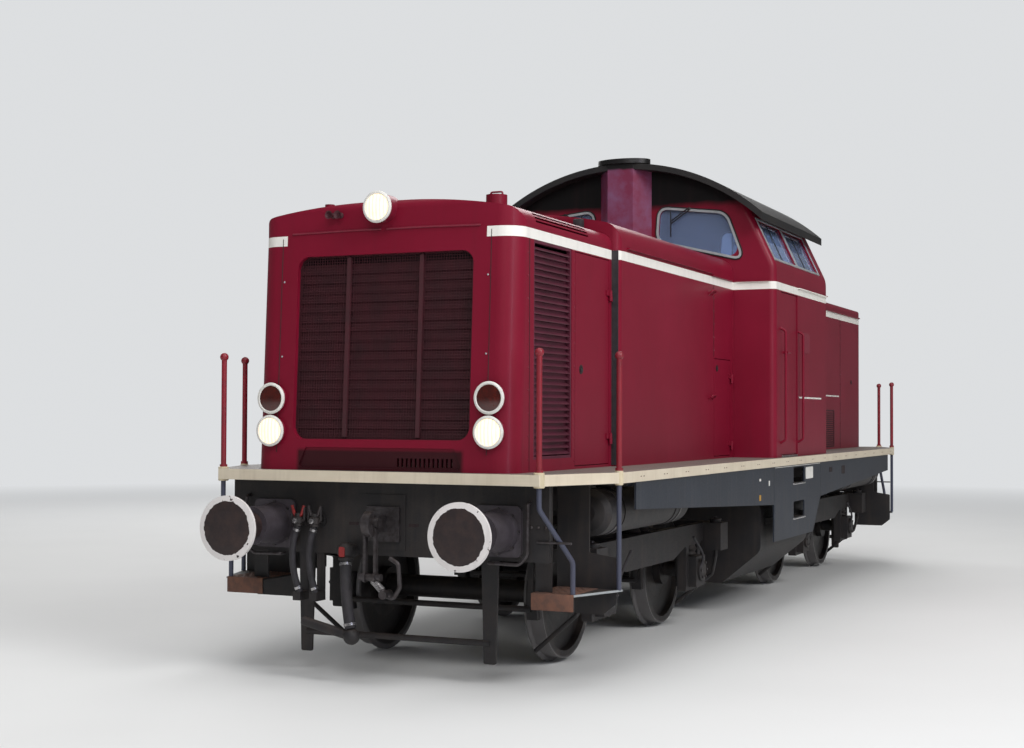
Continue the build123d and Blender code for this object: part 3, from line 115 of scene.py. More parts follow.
def crown_z(crown: float, radius: float, y: float) -> float:
    """Finds an arched roof's height beside its middle.

    Args:
        crown: The height at its middle.
        radius: The arch's radius.
        y: How far aside.

    Returns:
        The height there.
    """
    return crown - radius + math.sqrt(radius ** 2 - y ** 2)


def linear(code: str) -> Colour:
    """Turns a colour as written into the light that the renderer counts in.

    Args:
        code: An sRGB colour such as "#7a1828".

    Returns:
        Linear red, green, blue and a full alpha.
    """
    shares = [int(code[i:i + 2], 16) / 255 for i in (1, 3, 5)]
    red, green, blue = (c / 12.92 if c <= 0.04045 else ((c + 0.055) / 1.055) ** 2.4 for c in shares)
    return red, green, blue, 1.0


def add(tree: Tree, kind: str, inputs: dict | None = None, **settings: object) -> bpy.types.Node:
    """Adds a node with its settings, values and links.

    Args:
        tree: The node tree that takes it.
        kind: The node's type name.
        inputs: Values, or other nodes' outputs, by the input's name or number.
        **settings: The node's own properties.

    Returns:
        The new node.
    """
    node = tree.nodes.new(kind)
    for name, value in settings.items():
        setattr(node, name, value)
    for key, value in (inputs or {}).items():
        if isinstance(value, Socket):
            tree.links.new(value, node.inputs[key])
        else:
            node.inputs[key].default_value = value
    return node


def opened(name: str) -> tuple[bpy.types.Material, Tree, bpy.types.Node, Socket]:
    """Makes a material that is ready for its pattern.

    Args:
        name: The material's name.

    Returns:
        The material, its tree, its shader, and object coordinates in metres.
    """
    material = bpy.data.materials.new(name)
    material.use_nodes = True
    tree = material.node_tree
    place = add(tree, "ShaderNodeTexCoord").outputs["Object"]
    return material, tree, tree.nodes["Principled BSDF"], place


class Side(IntEnum):
    """The two sides of the locomotive, by the sign of y."""

    LEFT = 1
    RIGHT = -1

    @property
    def word(self) -> str:
        """Gives the side's word in the bodies' names."""
        return self.name.lower()


@dataclass(frozen=True)
class Finish:
    """A surface: what it is made of and how it meets the light.

    Colours are sRGB hex, lengths are in millimetres of the real surface.
    """

    name: str
    base: str
    worn: str
    patch_mm: float = 400.0
    patch: float = 0.3
    streak_mm: float = 60.0
    streak: float = 0.15
    dust: str = "#6a6058"
    dusty: float = 0.25
    rough: float = 0.4
    rough_spread: float = 0.12
    metal: float = 0.0
    coat: float = 0.0
    grain_mm: float = 3.0
    bump_mm: float = 0.4
    shine: float = 0.5

    def pattern(self, tree: Tree, place: Socket) -> Socket:
        """Mixes the plain colour with its faded patches.

        Args:
            tree: The material's tree.
            place: Object coordinates, in metres.

        Returns:
            The colour so far.
        """
        spots = add(tree, "ShaderNodeTexNoise", {
            "Vector": place, "Scale": 1000 / self.patch_mm, "Detail": 6.0, "Roughness": 0.6})
        share = add(tree, "ShaderNodeMapRange", {0: spots.outputs[0], 1: 0.4, 2: 0.7, 3: 0.0, 4: self.patch})
        mix = add(tree, "ShaderNodeMix", {
            0: share.outputs[0], 6: linear(self.base), 7: linear(self.worn)}, data_type="RGBA")
        return mix.outputs[2]

    def extra(self, tree: Tree, place: Socket, colour: Socket) -> Socket:
        """Gives a finish of its own kind the chance to paint over the colour; a plain one doesn't.

        Args:
            tree: The material's tree.
            place: Object coordinates, in metres.
            colour: The colour so far.

        Returns:
            The colour after it.
        """
        return colour

    def weather(self, tree: Tree, place: Socket, colour: Socket) -> Socket:
        """Lays rain streaks down the sides and dust on what faces up.

        Args:
            tree: The material's tree.
            place: Object coordinates, in metres.
            colour: The colour so far.

        Returns:
            The weathered colour.
        """
        across = 1000 / self.streak_mm
        drawn = add(tree, "ShaderNodeMapping", {
            "Vector": place, "Scale": (across, across, across / STREAK_STRETCH)})
        runs = add(tree, "ShaderNodeTexNoise", {"Vector": drawn.outputs[0], "Scale": 1.0, "Detail": 3.0})
        runs_share = add(tree, "ShaderNodeMapRange", {
            0: runs.outputs[0], 1: 0.5, 2: 0.8, 3: 0.0, 4: self.streak})
        first = add(tree, "ShaderNodeMix", {
            0: runs_share.outputs[0], 6: colour, 7: linear(self.dust)}, data_type="RGBA")
        normal = add(tree, "ShaderNodeNewGeometry").outputs["Normal"]
        up = add(tree, "ShaderNodeSeparateXYZ", {0: normal}).outputs[2]
        specks = add(tree, "ShaderNodeTexNoise", {"Vector": place, "Scale": 9.0, "Detail": 8.0})
        lying = add(tree, "ShaderNodeMapRange", {0: up, 1: 0.5, 2: 1.0, 3: 0.0, 4: self.dusty})
        share = add(tree, "ShaderNodeMath", {0: lying.outputs[0], 1: specks.outputs[0]}, operation="MULTIPLY")
        return add(tree, "ShaderNodeMix", {
            0: share.outputs[0], 6: first.outputs[2], 7: linear(self.dust)}, data_type="RGBA").outputs[2]

    def build(self) -> bpy.types.Material:
        """Makes the material once and hands the same one back after that.

        Returns:
            The material.
        """
        if self.name in bpy.data.materials:
            return bpy.data.materials[self.name]
        material, tree, shader, place = opened(self.name)
        colour = self.weather(tree, place, self.extra(tree, place, self.pattern(tree, place)))
        grain = add(tree, "ShaderNodeTexNoise", {
            "Vector": place, "Scale": 1000 / self.grain_mm, "Detail": 4.0})
        rough = add(tree, "ShaderNodeMapRange", {
            0: grain.outputs[0], 1: 0.3, 2: 0.7, 3: self.rough - self.rough_spread,
            4: self.rough + self.rough_spread})
        bump = add(tree, "ShaderNodeBump", {
            "Height": grain.outputs[0], "Distance": self.bump_mm / 1000, "Strength": 0.5})
        tree.links.new(colour, shader.inputs["Base Color"])
        tree.links.new(rough.outputs[0], shader.inputs["Roughness"])
        tree.links.new(bump.outputs[0], shader.inputs["Normal"])
        shader.inputs["Metallic"].default_value = self.metal
        shader.inputs["Coat Weight"].default_value = self.coat
        shader.inputs["Coat Roughness"].default_value = 0.12
        shader.inputs["Specular IOR Level"].default_value = self.shine
        return material


@dataclass(frozen=True)
class BodyPaint(Finish):
    """The body's enamel, the white line round it just under the roofs, and near-black in the nose's recess.
    """

    line: str = "#e9e6df"
    plain_y: float = 0.785
    recess_dark: str = "#1a0d0f"
    recess_dark_y: float = 0.63
    recess_dark_z: float = FLANGE + 1.575

    def extra(self, tree: Tree, place: Socket, colour: Socket) -> Socket:
        """Paints the line, but not across the middle of the nose, and then the near-black in the recess.

        Args:
            tree: The material's tree.
            place: Object coordinates, in metres.
            colour: The colour so far.

        Returns:
            The colour after both.
        """
        axes = add(tree, "ShaderNodeSeparateXYZ", {0: place})
        over = add(tree, "ShaderNodeMath", {
            0: axes.outputs[2], 1: STRIPE_TOP - STRIPE}, operation="GREATER_THAN")
        under = add(tree, "ShaderNodeMath", {
            0: axes.outputs[2], 1: STRIPE_TOP + 0.001}, operation="LESS_THAN")
        band = add(tree, "ShaderNodeMath", {0: over.outputs[0], 1: under.outputs[0]}, operation="MULTIPLY")
        far = add(tree, "ShaderNodeMath", {0: axes.outputs[0], 1: STEP_X + 1.5}, operation="LESS_THAN")
        out = add(tree, "ShaderNodeMath", {0: axes.outputs[1]}, operation="ABSOLUTE")
        beside = add(tree, "ShaderNodeMath", {0: out.outputs[0], 1: self.plain_y}, operation="GREATER_THAN")
        either = add(tree, "ShaderNodeMath", {0: far.outputs[0], 1: beside.outputs[0]}, operation="MAXIMUM")
        share = add(tree, "ShaderNodeMath", {0: band.outputs[0], 1: either.outputs[0]}, operation="MULTIPLY")
        lined = add(tree, "ShaderNodeMix", {
            0: share.outputs[0], 6: colour, 7: linear(self.line)}, data_type="RGBA")
        # near-black in the recess under the nose's grille, fading out at its sides and top
        ahead = add(tree, "ShaderNodeMath", {
            0: axes.outputs[0], 1: NOSE_X - NOSE_LEAN}, operation="GREATER_THAN")
        inside = add(tree, "ShaderNodeMapRange", {
            0: out.outputs[0], 1: self.recess_dark_y, 2: self.recess_dark_y + 0.03, 3: 0.85, 4: 0.0})
        below = add(tree, "ShaderNodeMapRange", {
            0: axes.outputs[2], 1: self.recess_dark_z - 0.03, 2: self.recess_dark_z, 3: 1.0, 4: 0.0})
        recess_dark_across = add(tree, "ShaderNodeMath", {0: inside.outputs[0], 1: below.outputs[0]}, operation="MULTIPLY")
        recess_dark_share = add(tree, "ShaderNodeMath", {0: recess_dark_across.outputs[0], 1: ahead.outputs[0]}, operation="MULTIPLY")
        return add(tree, "ShaderNodeMix", {
            0: recess_dark_share.outputs[0], 6: lined.outputs[2], 7: linear(self.recess_dark)}, data_type="RGBA").outputs[2]


@dataclass(frozen=True)
class SootAndShadePaint(BodyPaint):
    """The body's enamel, black above a height, and pale on the cab's inner walls; on the cab the black is
    mostly painted shade under the roof's overhang with some soot, on the stack it is its black cap.
    """

    lining: str = "#b7b9a6"
    wall: float = 0.035
    shade_and_soot: str = "#0d0b0c"
    shade_and_soot_z: float = FLANGE + 3.83
    shade_and_soot_fade: float = 0.07
    shade_and_soot_x: float = CAB_X - 0.01

    def extra(self, tree: Tree, place: Socket, colour: Socket) -> Socket:
        """Paints the line, the black with its ragged lower edge (painted shade and soot), and the lining
        inside.

        Args:
            tree: The material's tree.
            place: Object coordinates, in metres.
            colour: The colour so far.

        Returns:
            The colour after all three.
        """
        lined = super().extra(tree, place, colour)
        axes = add(tree, "ShaderNodeSeparateXYZ", {0: place})
        # black above a ragged height: painted shade under the cab roof's overhang with some soot, and the
        # stack's black cap
        ragged_edge_noise = add(tree, "ShaderNodeTexNoise", {"Vector": place, "Scale": 4.0, "Detail": 5.0})
        shift = add(tree, "ShaderNodeMath", {0: ragged_edge_noise.outputs[0], 1: 0.08}, operation="MULTIPLY")
        height = add(tree, "ShaderNodeMath", {0: axes.outputs[2], 1: shift.outputs[0]}, operation="ADD")
        high = add(tree, "ShaderNodeMapRange", {
            0: height.outputs[0], 1: self.shade_and_soot_z, 2: self.shade_and_soot_z + self.shade_and_soot_fade, 3: 0.0, 4: 1.0})
        ahead = add(tree, "ShaderNodeMath", {0: axes.outputs[0], 1: self.shade_and_soot_x}, operation="GREATER_THAN")
        share = add(tree, "ShaderNodeMath", {0: high.outputs[0], 1: ahead.outputs[0]}, operation="MULTIPLY")
        outer = add(tree, "ShaderNodeMix", {
            0: share.outputs[0], 6: lined, 7: linear(self.shade_and_soot)}, data_type="RGBA").outputs[2]
        # inside: behind the front wall, ahead of the rear one, within the upright and the leaning sides
        out = add(tree, "ShaderNodeMath", {0: axes.outputs[1]}, operation="ABSOLUTE")
        leaning = add(tree, "ShaderNodeMapRange", {
            0: axes.outputs[2], 1: CAB_EAVE - 1.0, 2: CAB_EAVE, 3: CAB_EAVE_Y + CAB_LEAN - self.wall,
            4: CAB_EAVE_Y - self.wall}, clamp=False)
        inside = add(tree, "ShaderNodeMath", {
            0: out.outputs[0], 1: leaning.outputs[0]}, operation="LESS_THAN").outputs[0]
        for axis, limit, side_of in ((out.outputs[0], CAB_Y - self.wall, "LESS_THAN"),
                                     (axes.outputs[0], CAB_X - self.wall, "LESS_THAN"),
                                     (axes.outputs[0], CAB_REAR + self.wall, "GREATER_THAN")):
            within = add(tree, "ShaderNodeMath", {0: axis, 1: limit}, operation=side_of)
            inside = add(tree, "ShaderNodeMath", {
                0: inside, 1: within.outputs[0]}, operation="MULTIPLY").outputs[0]
        return add(tree, "ShaderNodeMix", {
            0: inside, 6: outer, 7: linear(self.lining)}, data_type="RGBA").outputs[2]


@dataclass(frozen=True)
class PostPaint(Finish):
    """The posts: red above the deck, a cream collar at the band, blue-grey grab rails below."""

    collar: str = "#c9bb9b"
    rail: str = "#3e4152"

    def extra(self, tree: Tree, place: Socket, colour: Socket) -> Socket:
        """Paints the collar and the rails by height.

        Args:
            tree: The material's tree.
            place: Object coordinates, in metres.
            colour: The colour so far.

        Returns:
            The colour after both.
        """
        height = add(tree, "ShaderNodeSeparateXYZ", {0: place}).outputs[2]
        last = colour
        for level, code in ((DECK_TOP - 0.003, self.collar), (DECK_TOP - BAND, self.rail)):
            under = add(tree, "ShaderNodeMath", {0: height, 1: level}, operation="LESS_THAN")
            last = add(tree, "ShaderNodeMix", {
                0: under.outputs[0], 6: last, 7: linear(code)}, data_type="RGBA").outputs[2]
        return last


@dataclass(frozen=True)
class BufferFace(Finish):
    """The buffer heads' dark greasy faces inside a chipped white rim."""

    rim: str = "#d9d4d2"
    rim_r: float = 0.182

    def extra(self, tree: Tree, place: Socket, colour: Socket) -> Socket:
        """Paints the rim by the distance from each head's middle.

        Args:
            tree: The material's tree.
            place: Object coordinates, in metres.
            colour: The colour so far.

        Returns:
            The colour after it.
        """
        axes = add(tree, "ShaderNodeSeparateXYZ", {0: place})
        out = add(tree, "ShaderNodeMath", {0: axes.outputs[1]}, operation="ABSOLUTE")
        centred = add(tree, "ShaderNodeCombineXYZ", {0: out.outputs[0], 1: axes.outputs[2]})
        away = add(tree, "ShaderNodeVectorMath", {
            0: centred.outputs[0], 1: (BUFFER_Y, BUFFER_Z, 0.0)}, operation="DISTANCE")
        chips = add(tree, "ShaderNodeTexNoise", {"Vector": place, "Scale": 30.0, "Detail": 6.0})
        ragged = add(tree, "ShaderNodeMapRange", {
            0: chips.outputs[0], 1: 0.0, 2: 1.0, 3: self.rim_r - 0.012, 4: self.rim_r + 0.012})
        inside = add(tree, "ShaderNodeMath", {
            0: away.outputs["Value"], 1: ragged.outputs[0]}, operation="GREATER_THAN")
        whole = add(tree, "ShaderNodeMath", {0: chips.outputs[0], 1: 0.68}, operation="LESS_THAN")
        share = add(tree, "ShaderNodeMath", {0: inside.outputs[0], 1: whole.outputs[0]}, operation="MULTIPLY")
        return add(tree, "ShaderNodeMix", {
            0: share.outputs[0], 6: colour, 7: linear(self.rim)}, data_type="RGBA").outputs[2]


@dataclass(frozen=True)
class WheelSteel(Finish):
    """A wheelset's dusty discs with a bright tread and flange, worked out from its own axle."""

    axle_x: float = 0.0
    tread: str = "#6f6c6c"

    def extra(self, tree: Tree, place: Socket, colour: Socket) -> Socket:
        """Paints the tread where the distance from the axle is near the wheel's radius.

        Args:
            tree: The material's tree.
            place: Object coordinates, in metres.
            colour: The colour so far.

        Returns:
            The colour after it.
        """
        flat = add(tree, "ShaderNodeMapping", {"Vector": place, "Scale": (1.0, 0.0, 1.0)})
        away = add(tree, "ShaderNodeVectorMath", {
            0: flat.outputs[0], 1: (self.axle_x, 0.0, AXLE_Z)}, operation="DISTANCE")
        share = add(tree, "ShaderNodeMapRange", {
            0: away.outputs["Value"], 1: WHEEL_R - 0.02, 2: WHEEL_R - 0.004, 3: 0.0, 4: 0.85})
        return add(tree, "ShaderNodeMix", {
            0: share.outputs[0], 6: colour, 7: linear(self.tread)}, data_type="RGBA").outputs[2]


@dataclass(frozen=True)
class DeckPaint(Finish):
    """Cream paint on the deck's edge, its top being walked-on grey plate with raised bars."""

    plate: str = "#7f7a76"
    trodden: str = "#6d6966"
    bar_mm: float = 30.0

    def extra(self, tree: Tree, place: Socket, colour: Socket) -> Socket:
        """Paints what faces up as worn plate.

        Args:
            tree: The material's tree.
            place: Object coordinates, in metres.
            colour: The colour so far.

        Returns:
            The colour after it.
        """
        normal = add(tree, "ShaderNodeNewGeometry").outputs["Normal"]
        up = add(tree, "ShaderNodeSeparateXYZ", {0: normal}).outputs[2]
        flat = add(tree, "ShaderNodeMath", {0: up, 1: 0.7}, operation="GREATER_THAN")
        turned = add(tree, "ShaderNodeMapping", {"Vector": place, "Rotation": (0.0, 0.0, math.radians(45))})
        tiles = add(tree, "ShaderNodeTexChecker", {
            "Vector": turned.outputs[0], "Color1": linear(self.plate), "Color2": linear(self.trodden),
            "Scale": 1000 / self.bar_mm})
        return add(tree, "ShaderNodeMix", {
            0: flat.outputs[0], 6: colour, 7: tiles.outputs[0]}, data_type="RGBA").outputs[2]


@dataclass(frozen=True)
class Glass:
    """Window glass with a faint blue body, a pale blue diffuse share that is a painted reflection of the sky,
    and a thin film of dust.
    """

    name: str = "window_glass"
    tint_and_sky_sheen: str = "#b4c6e6"
    clear: float = 0.84
    rough: float = 0.02

    def build(self) -> bpy.types.Material:
        """Makes the material once and hands the same one back after that.

        Returns:
            The material.
        """
        if self.name in bpy.data.materials:
            return bpy.data.materials[self.name]
        material, tree, shader, place = opened(self.name)
        film = add(tree, "ShaderNodeTexNoise", {"Vector": place, "Scale": 4.0, "Detail": 5.0})
        rough = add(tree, "ShaderNodeMapRange", {
            0: film.outputs[0], 1: 0.4, 2: 0.8, 3: self.rough, 4: self.rough + 0.06})
        tree.links.new(rough.outputs[0], shader.inputs["Roughness"])
        # the pale blue base colour on the share that is not transmitted is a painted reflection of the sky
        shader.inputs["Base Color"].default_value = linear(self.tint_and_sky_sheen)
        shader.inputs["Transmission Weight"].default_value = self.clear
        shader.inputs["IOR"].default_value = 1.45
        # daylight falls through the panes into the cab
        shadow = add(tree, "ShaderNodeLightPath").outputs["Is Shadow Ray"]
        open_way = add(tree, "ShaderNodeBsdfTransparent", {"Color": linear(self.tint_and_sky_sheen)})
        either = add(tree, "ShaderNodeMixShader", {0: shadow, 1: shader.outputs[0], 2: open_way.outputs[0]})
        tree.links.new(either.outputs[0], tree.nodes["Material Output"].inputs["Surface"])
        return material


@dataclass(frozen=True)
class LampGlass:
    """A lamp's front: a fluted lens, lit from behind, or dark with a faint painted glow along its flutes."""

    name: str
    base: str
    glow: str
    strength: float
    flute_mm: float = 14.0

    def build(self) -> bpy.types.Material:
        """Makes the material once and hands the same one back after that.

        Returns:
            The material.
        """
        if self.name in bpy.data.materials:
            return bpy.data.materials[self.name]
        material, tree, shader, place = opened(self.name)
        flutes = add(tree, "ShaderNodeTexWave", {
            "Vector": place, "Scale": 1000 / self.flute_mm / 6.283}, bands_direction="Y")
        bump = add(tree, "ShaderNodeBump", {"Height": flutes.outputs[0], "Distance": 0.002, "Strength": 0.6})
        tree.links.new(bump.outputs[0], shader.inputs["Normal"])
        stain = add(tree, "ShaderNodeTexNoise", {"Vector": place, "Scale": 25.0})
        tone = add(tree, "ShaderNodeMix", {
            0: stain.outputs[0], 6: linear(self.base), 7: linear(self.glow)}, data_type="RGBA")
        tree.links.new(tone.outputs[2], shader.inputs["Base Color"])
        shader.inputs["Roughness"].default_value = 0.12
        shader.inputs["Coat Weight"].default_value = 0.6
        shader.inputs["Emission Color"].default_value = linear(self.glow)
        # the lens glows along its flutes; on a dark lens this is a faint painted glow with no lamp behind it
        lit = add(tree, "ShaderNodeMapRange", {
            0: flutes.outputs[0], 3: 0.55 * self.strength, 4: self.strength})
        tree.links.new(lit.outputs[0], shader.inputs["Emission Strength"])
        return material


# semi-gloss alkyd enamel, sprayed: deep crimson, faded to rose where the sun and brushes reach
BODY = BodyPaint("crimson_enamel", "#760e27", "#821630", patch_mm=700, patch=0.5, streak=0.12, dust="#3f2024",
                 dusty=0.12, rough=0.40, rough_spread=0.06, coat=0.05, grain_mm=5, bump_mm=0.15, shine=0.22)
# the same enamel on the cab, black over the front windows: mostly painted shade under the roof's overhang,
# with some soot
CAB_PAINT = SootAndShadePaint("sooty_crimson_enamel", "#760e27", "#821630", patch_mm=700, patch=0.5, streak=0.12,
                       dust="#3f2024", dusty=0.12, rough=0.40, rough_spread=0.06, coat=0.05, grain_mm=5,
                       bump_mm=0.15, shine=0.22)
# the stack's crimson enamel, its lilac tone and patches a painted reflection of the sky on its round front,
# with a burnt black cap
STACK_PAINT = SootAndShadePaint("burnt_crimson_enamel", "#742745", "#7a5678", patch_mm=200, patch=0.8,
                         dust="#3f2024", rough=0.40, coat=0.12, bump_mm=0.15, shade_and_soot_z=CAB_TOP - 0.02,
                         shade_and_soot_fade=0.02, shade_and_soot_x=0.0)
# the same enamel without the white line, for small pieces on the body
TRIM = Finish("crimson_trim_enamel", "#76112a", "#86243a", patch_mm=120, patch=0.4, dust="#3f2024", dusty=0.2,
              rough=0.42, coat=0.1, bump_mm=0.15)
# brushed red enamel gone brown on the posts that hands rub
RAIL = PostPaint("rubbed_red_enamel", "#851626", "#5a1a22", patch_mm=90, patch=0.45, dust="#4a2f2a",
                 rough=0.42, bump_mm=0.2)
# dull crimson on the slats, browned by the air that is drawn through them
SLAT = Finish("sooty_crimson_paint", "#43131d", "#2d1217", patch_mm=150, patch=0.6, dust="#241516", dusty=0.5,
              rough=0.62, bump_mm=0.3)
# the side grilles' louvres, the same paint less sooty
LOUVRE = Finish("dusty_crimson_paint", "#5c2134", "#431824", patch_mm=150, patch=0.6, dust="#3a2a2c",
                dusty=0.4, rough=0.5, bump_mm=0.3)
# black rubber and dirt in the seams between panels
SEAM = Finish("dirty_panel_seam", "#1c0b0f", "#2c1116", patch_mm=60, rough=0.7, bump_mm=0.2)
# matt black roof paint, chalky with soot
ROOF = Finish("sooty_roof_paint", "#151416", "#26231f", patch_mm=500, patch=0.6, dust="#3b3630", dusty=0.35,
              rough=0.6, bump_mm=0.3)
# satin slate paint on pressed skirts
SKIRT = Finish("slate_enamel", "#1d232e", "#282f3b", patch_mm=350, patch=0.5, dust="#5b534c", dusty=0.3,
               streak=0.3, streak_mm=45, rough=0.5, bump_mm=0.2)
# oil-darkened chassis paint under brown brake dust
CHASSIS = Finish("oily_chassis_paint", "#1d1b1d", "#2f2826", patch_mm=180, patch=0.7, dust="#4a3e36",
                 dusty=0.6, streak=0.25, rough=0.62, grain_mm=4, bump_mm=0.6)
# the buffer sleeves' cast steel, greased and violet-grey
SLEEVE = Finish("greased_cast_steel", "#4a444a", "#2f2a2c", patch_mm=80, patch=0.6, dust="#3c322c",
                rough=0.45, metal=0.3, grain_mm=3, bump_mm=0.5)
# forged steel rubbed bright where it works, dull and rusty between
FORGED = Finish("worn_forged_steel", "#4b4749", "#2c2523", patch_mm=40, patch=0.8, dust="#4a3326", rough=0.42,
                metal=0.6, grain_mm=3, bump_mm=0.4)
# bare steel polished by use
BRIGHT = Finish("polished_steel", "#b5b3b4", "#8d8886", patch_mm=30, patch=0.5, dust="#6b6058", rough=0.25,
                metal=0.9, grain_mm=2, bump_mm=0.1)
# rust on the step boards, flaking
RUST = Finish("rusty_step_plate", "#5a4036", "#7a513e", patch_mm=60, patch=0.8, dust="#4a4440", rough=0.8,
              grain_mm=3, bump_mm=1.0)
# glossy signal red on levers, the valve's cover and the desk's controls
LEVER = Finish("signal_red_enamel", "#8c1c1c", "#5e1a18", patch_mm=30, patch=0.5, rough=0.4)
# moulded rubber, greyed by weather
RUBBER = Finish("weathered_rubber", "#232124", "#38343a", patch_mm=50, patch=0.6, dust="#554b46", dusty=0.5,
                rough=0.7, grain_mm=2, bump_mm=0.4)
# black window seal, moulded
SEAL = Finish("black_window_seal", "#121213", "#1e1e20", patch_mm=60, rough=0.5, dusty=0.1)
# light grey enamel on the aluminium window frames, screws and tread edges, slightly metallic
FRAME = Finish("light_grey_frame", "#a9aeb0", "#85898b", patch_mm=60, patch=0.5, rough=0.38, metal=0.2)
# cream enamel on the posts' collars, brushed thick
CREAM = Finish("cream_enamel", "#cfc2a4", "#b3a588", patch_mm=150, patch=0.5, dust="#8a6a4a", rough=0.45)
# cream enamel on the deck's pressed edge, streaked by rain, and walked-on steel plate above
DECK = DeckPaint("cream_edge_and_tread_plate", "#d3c7b2", "#b9ac95", patch_mm=260, patch=0.4, dust="#7d6248",
                 dusty=0.3, streak=0.14, streak_mm=35, rough=0.5, bump_mm=0.3)
# the buffers' faces, black with grease and brown with rust
BUFFER = BufferFace("greasy_buffer_face", "#231819", "#3a2824", patch_mm=70, patch=0.7, dust="#4a342b",
                    dusty=0.1, rough=0.5, grain_mm=4, bump_mm=0.5)
# sand-cast aluminium of the fan, dusty
CAST = Finish("dusty_cast_aluminium", "#6f6f70", "#55534f", patch_mm=90, patch=0.6, rough=0.55, metal=0.6)
# hammered enamel on the desk, grey-green with a dimpled sheen
DESK = Finish("hammered_desk_paint", "#5d665e", "#4c544d", patch_mm=200, rough=0.45, grain_mm=6, bump_mm=0.5)
# black grained vinyl on the seats
VINYL = Finish("grained_vinyl", "#1c1b1c", "#2b2928", patch_mm=120, rough=0.55, grain_mm=2.5, bump_mm=0.5)
# white enamel, a little chalky, on blank plates, lines, lamp rings and dial faces
WHITE = Finish("white_enamel", "#e2e0da", "#c4c0b8", patch_mm=60, patch=0.4, dust="#8b8378", rough=0.4)
# yellow enamel on the skirts' small marks
YELLOW = Finish("yellow_enamel", "#b98a1e", "#8b6a22", patch_mm=30, rough=0.45)
# clear float glass, faintly blue, its pale blue diffuse share a painted reflection of the sky
GLASS = Glass()
# pressed lens glass, white-hot where the lamp behind it burns, and nearly black with a faint painted glow
# where it doesn't
LAMP_LIT = LampGlass("lit_lamp_lens", "#fff0d6", "#ffdca8", 1.65)
LAMP_DARK = LampGlass("dark_red_lens", "#1a0605", "#541308", 0.08)


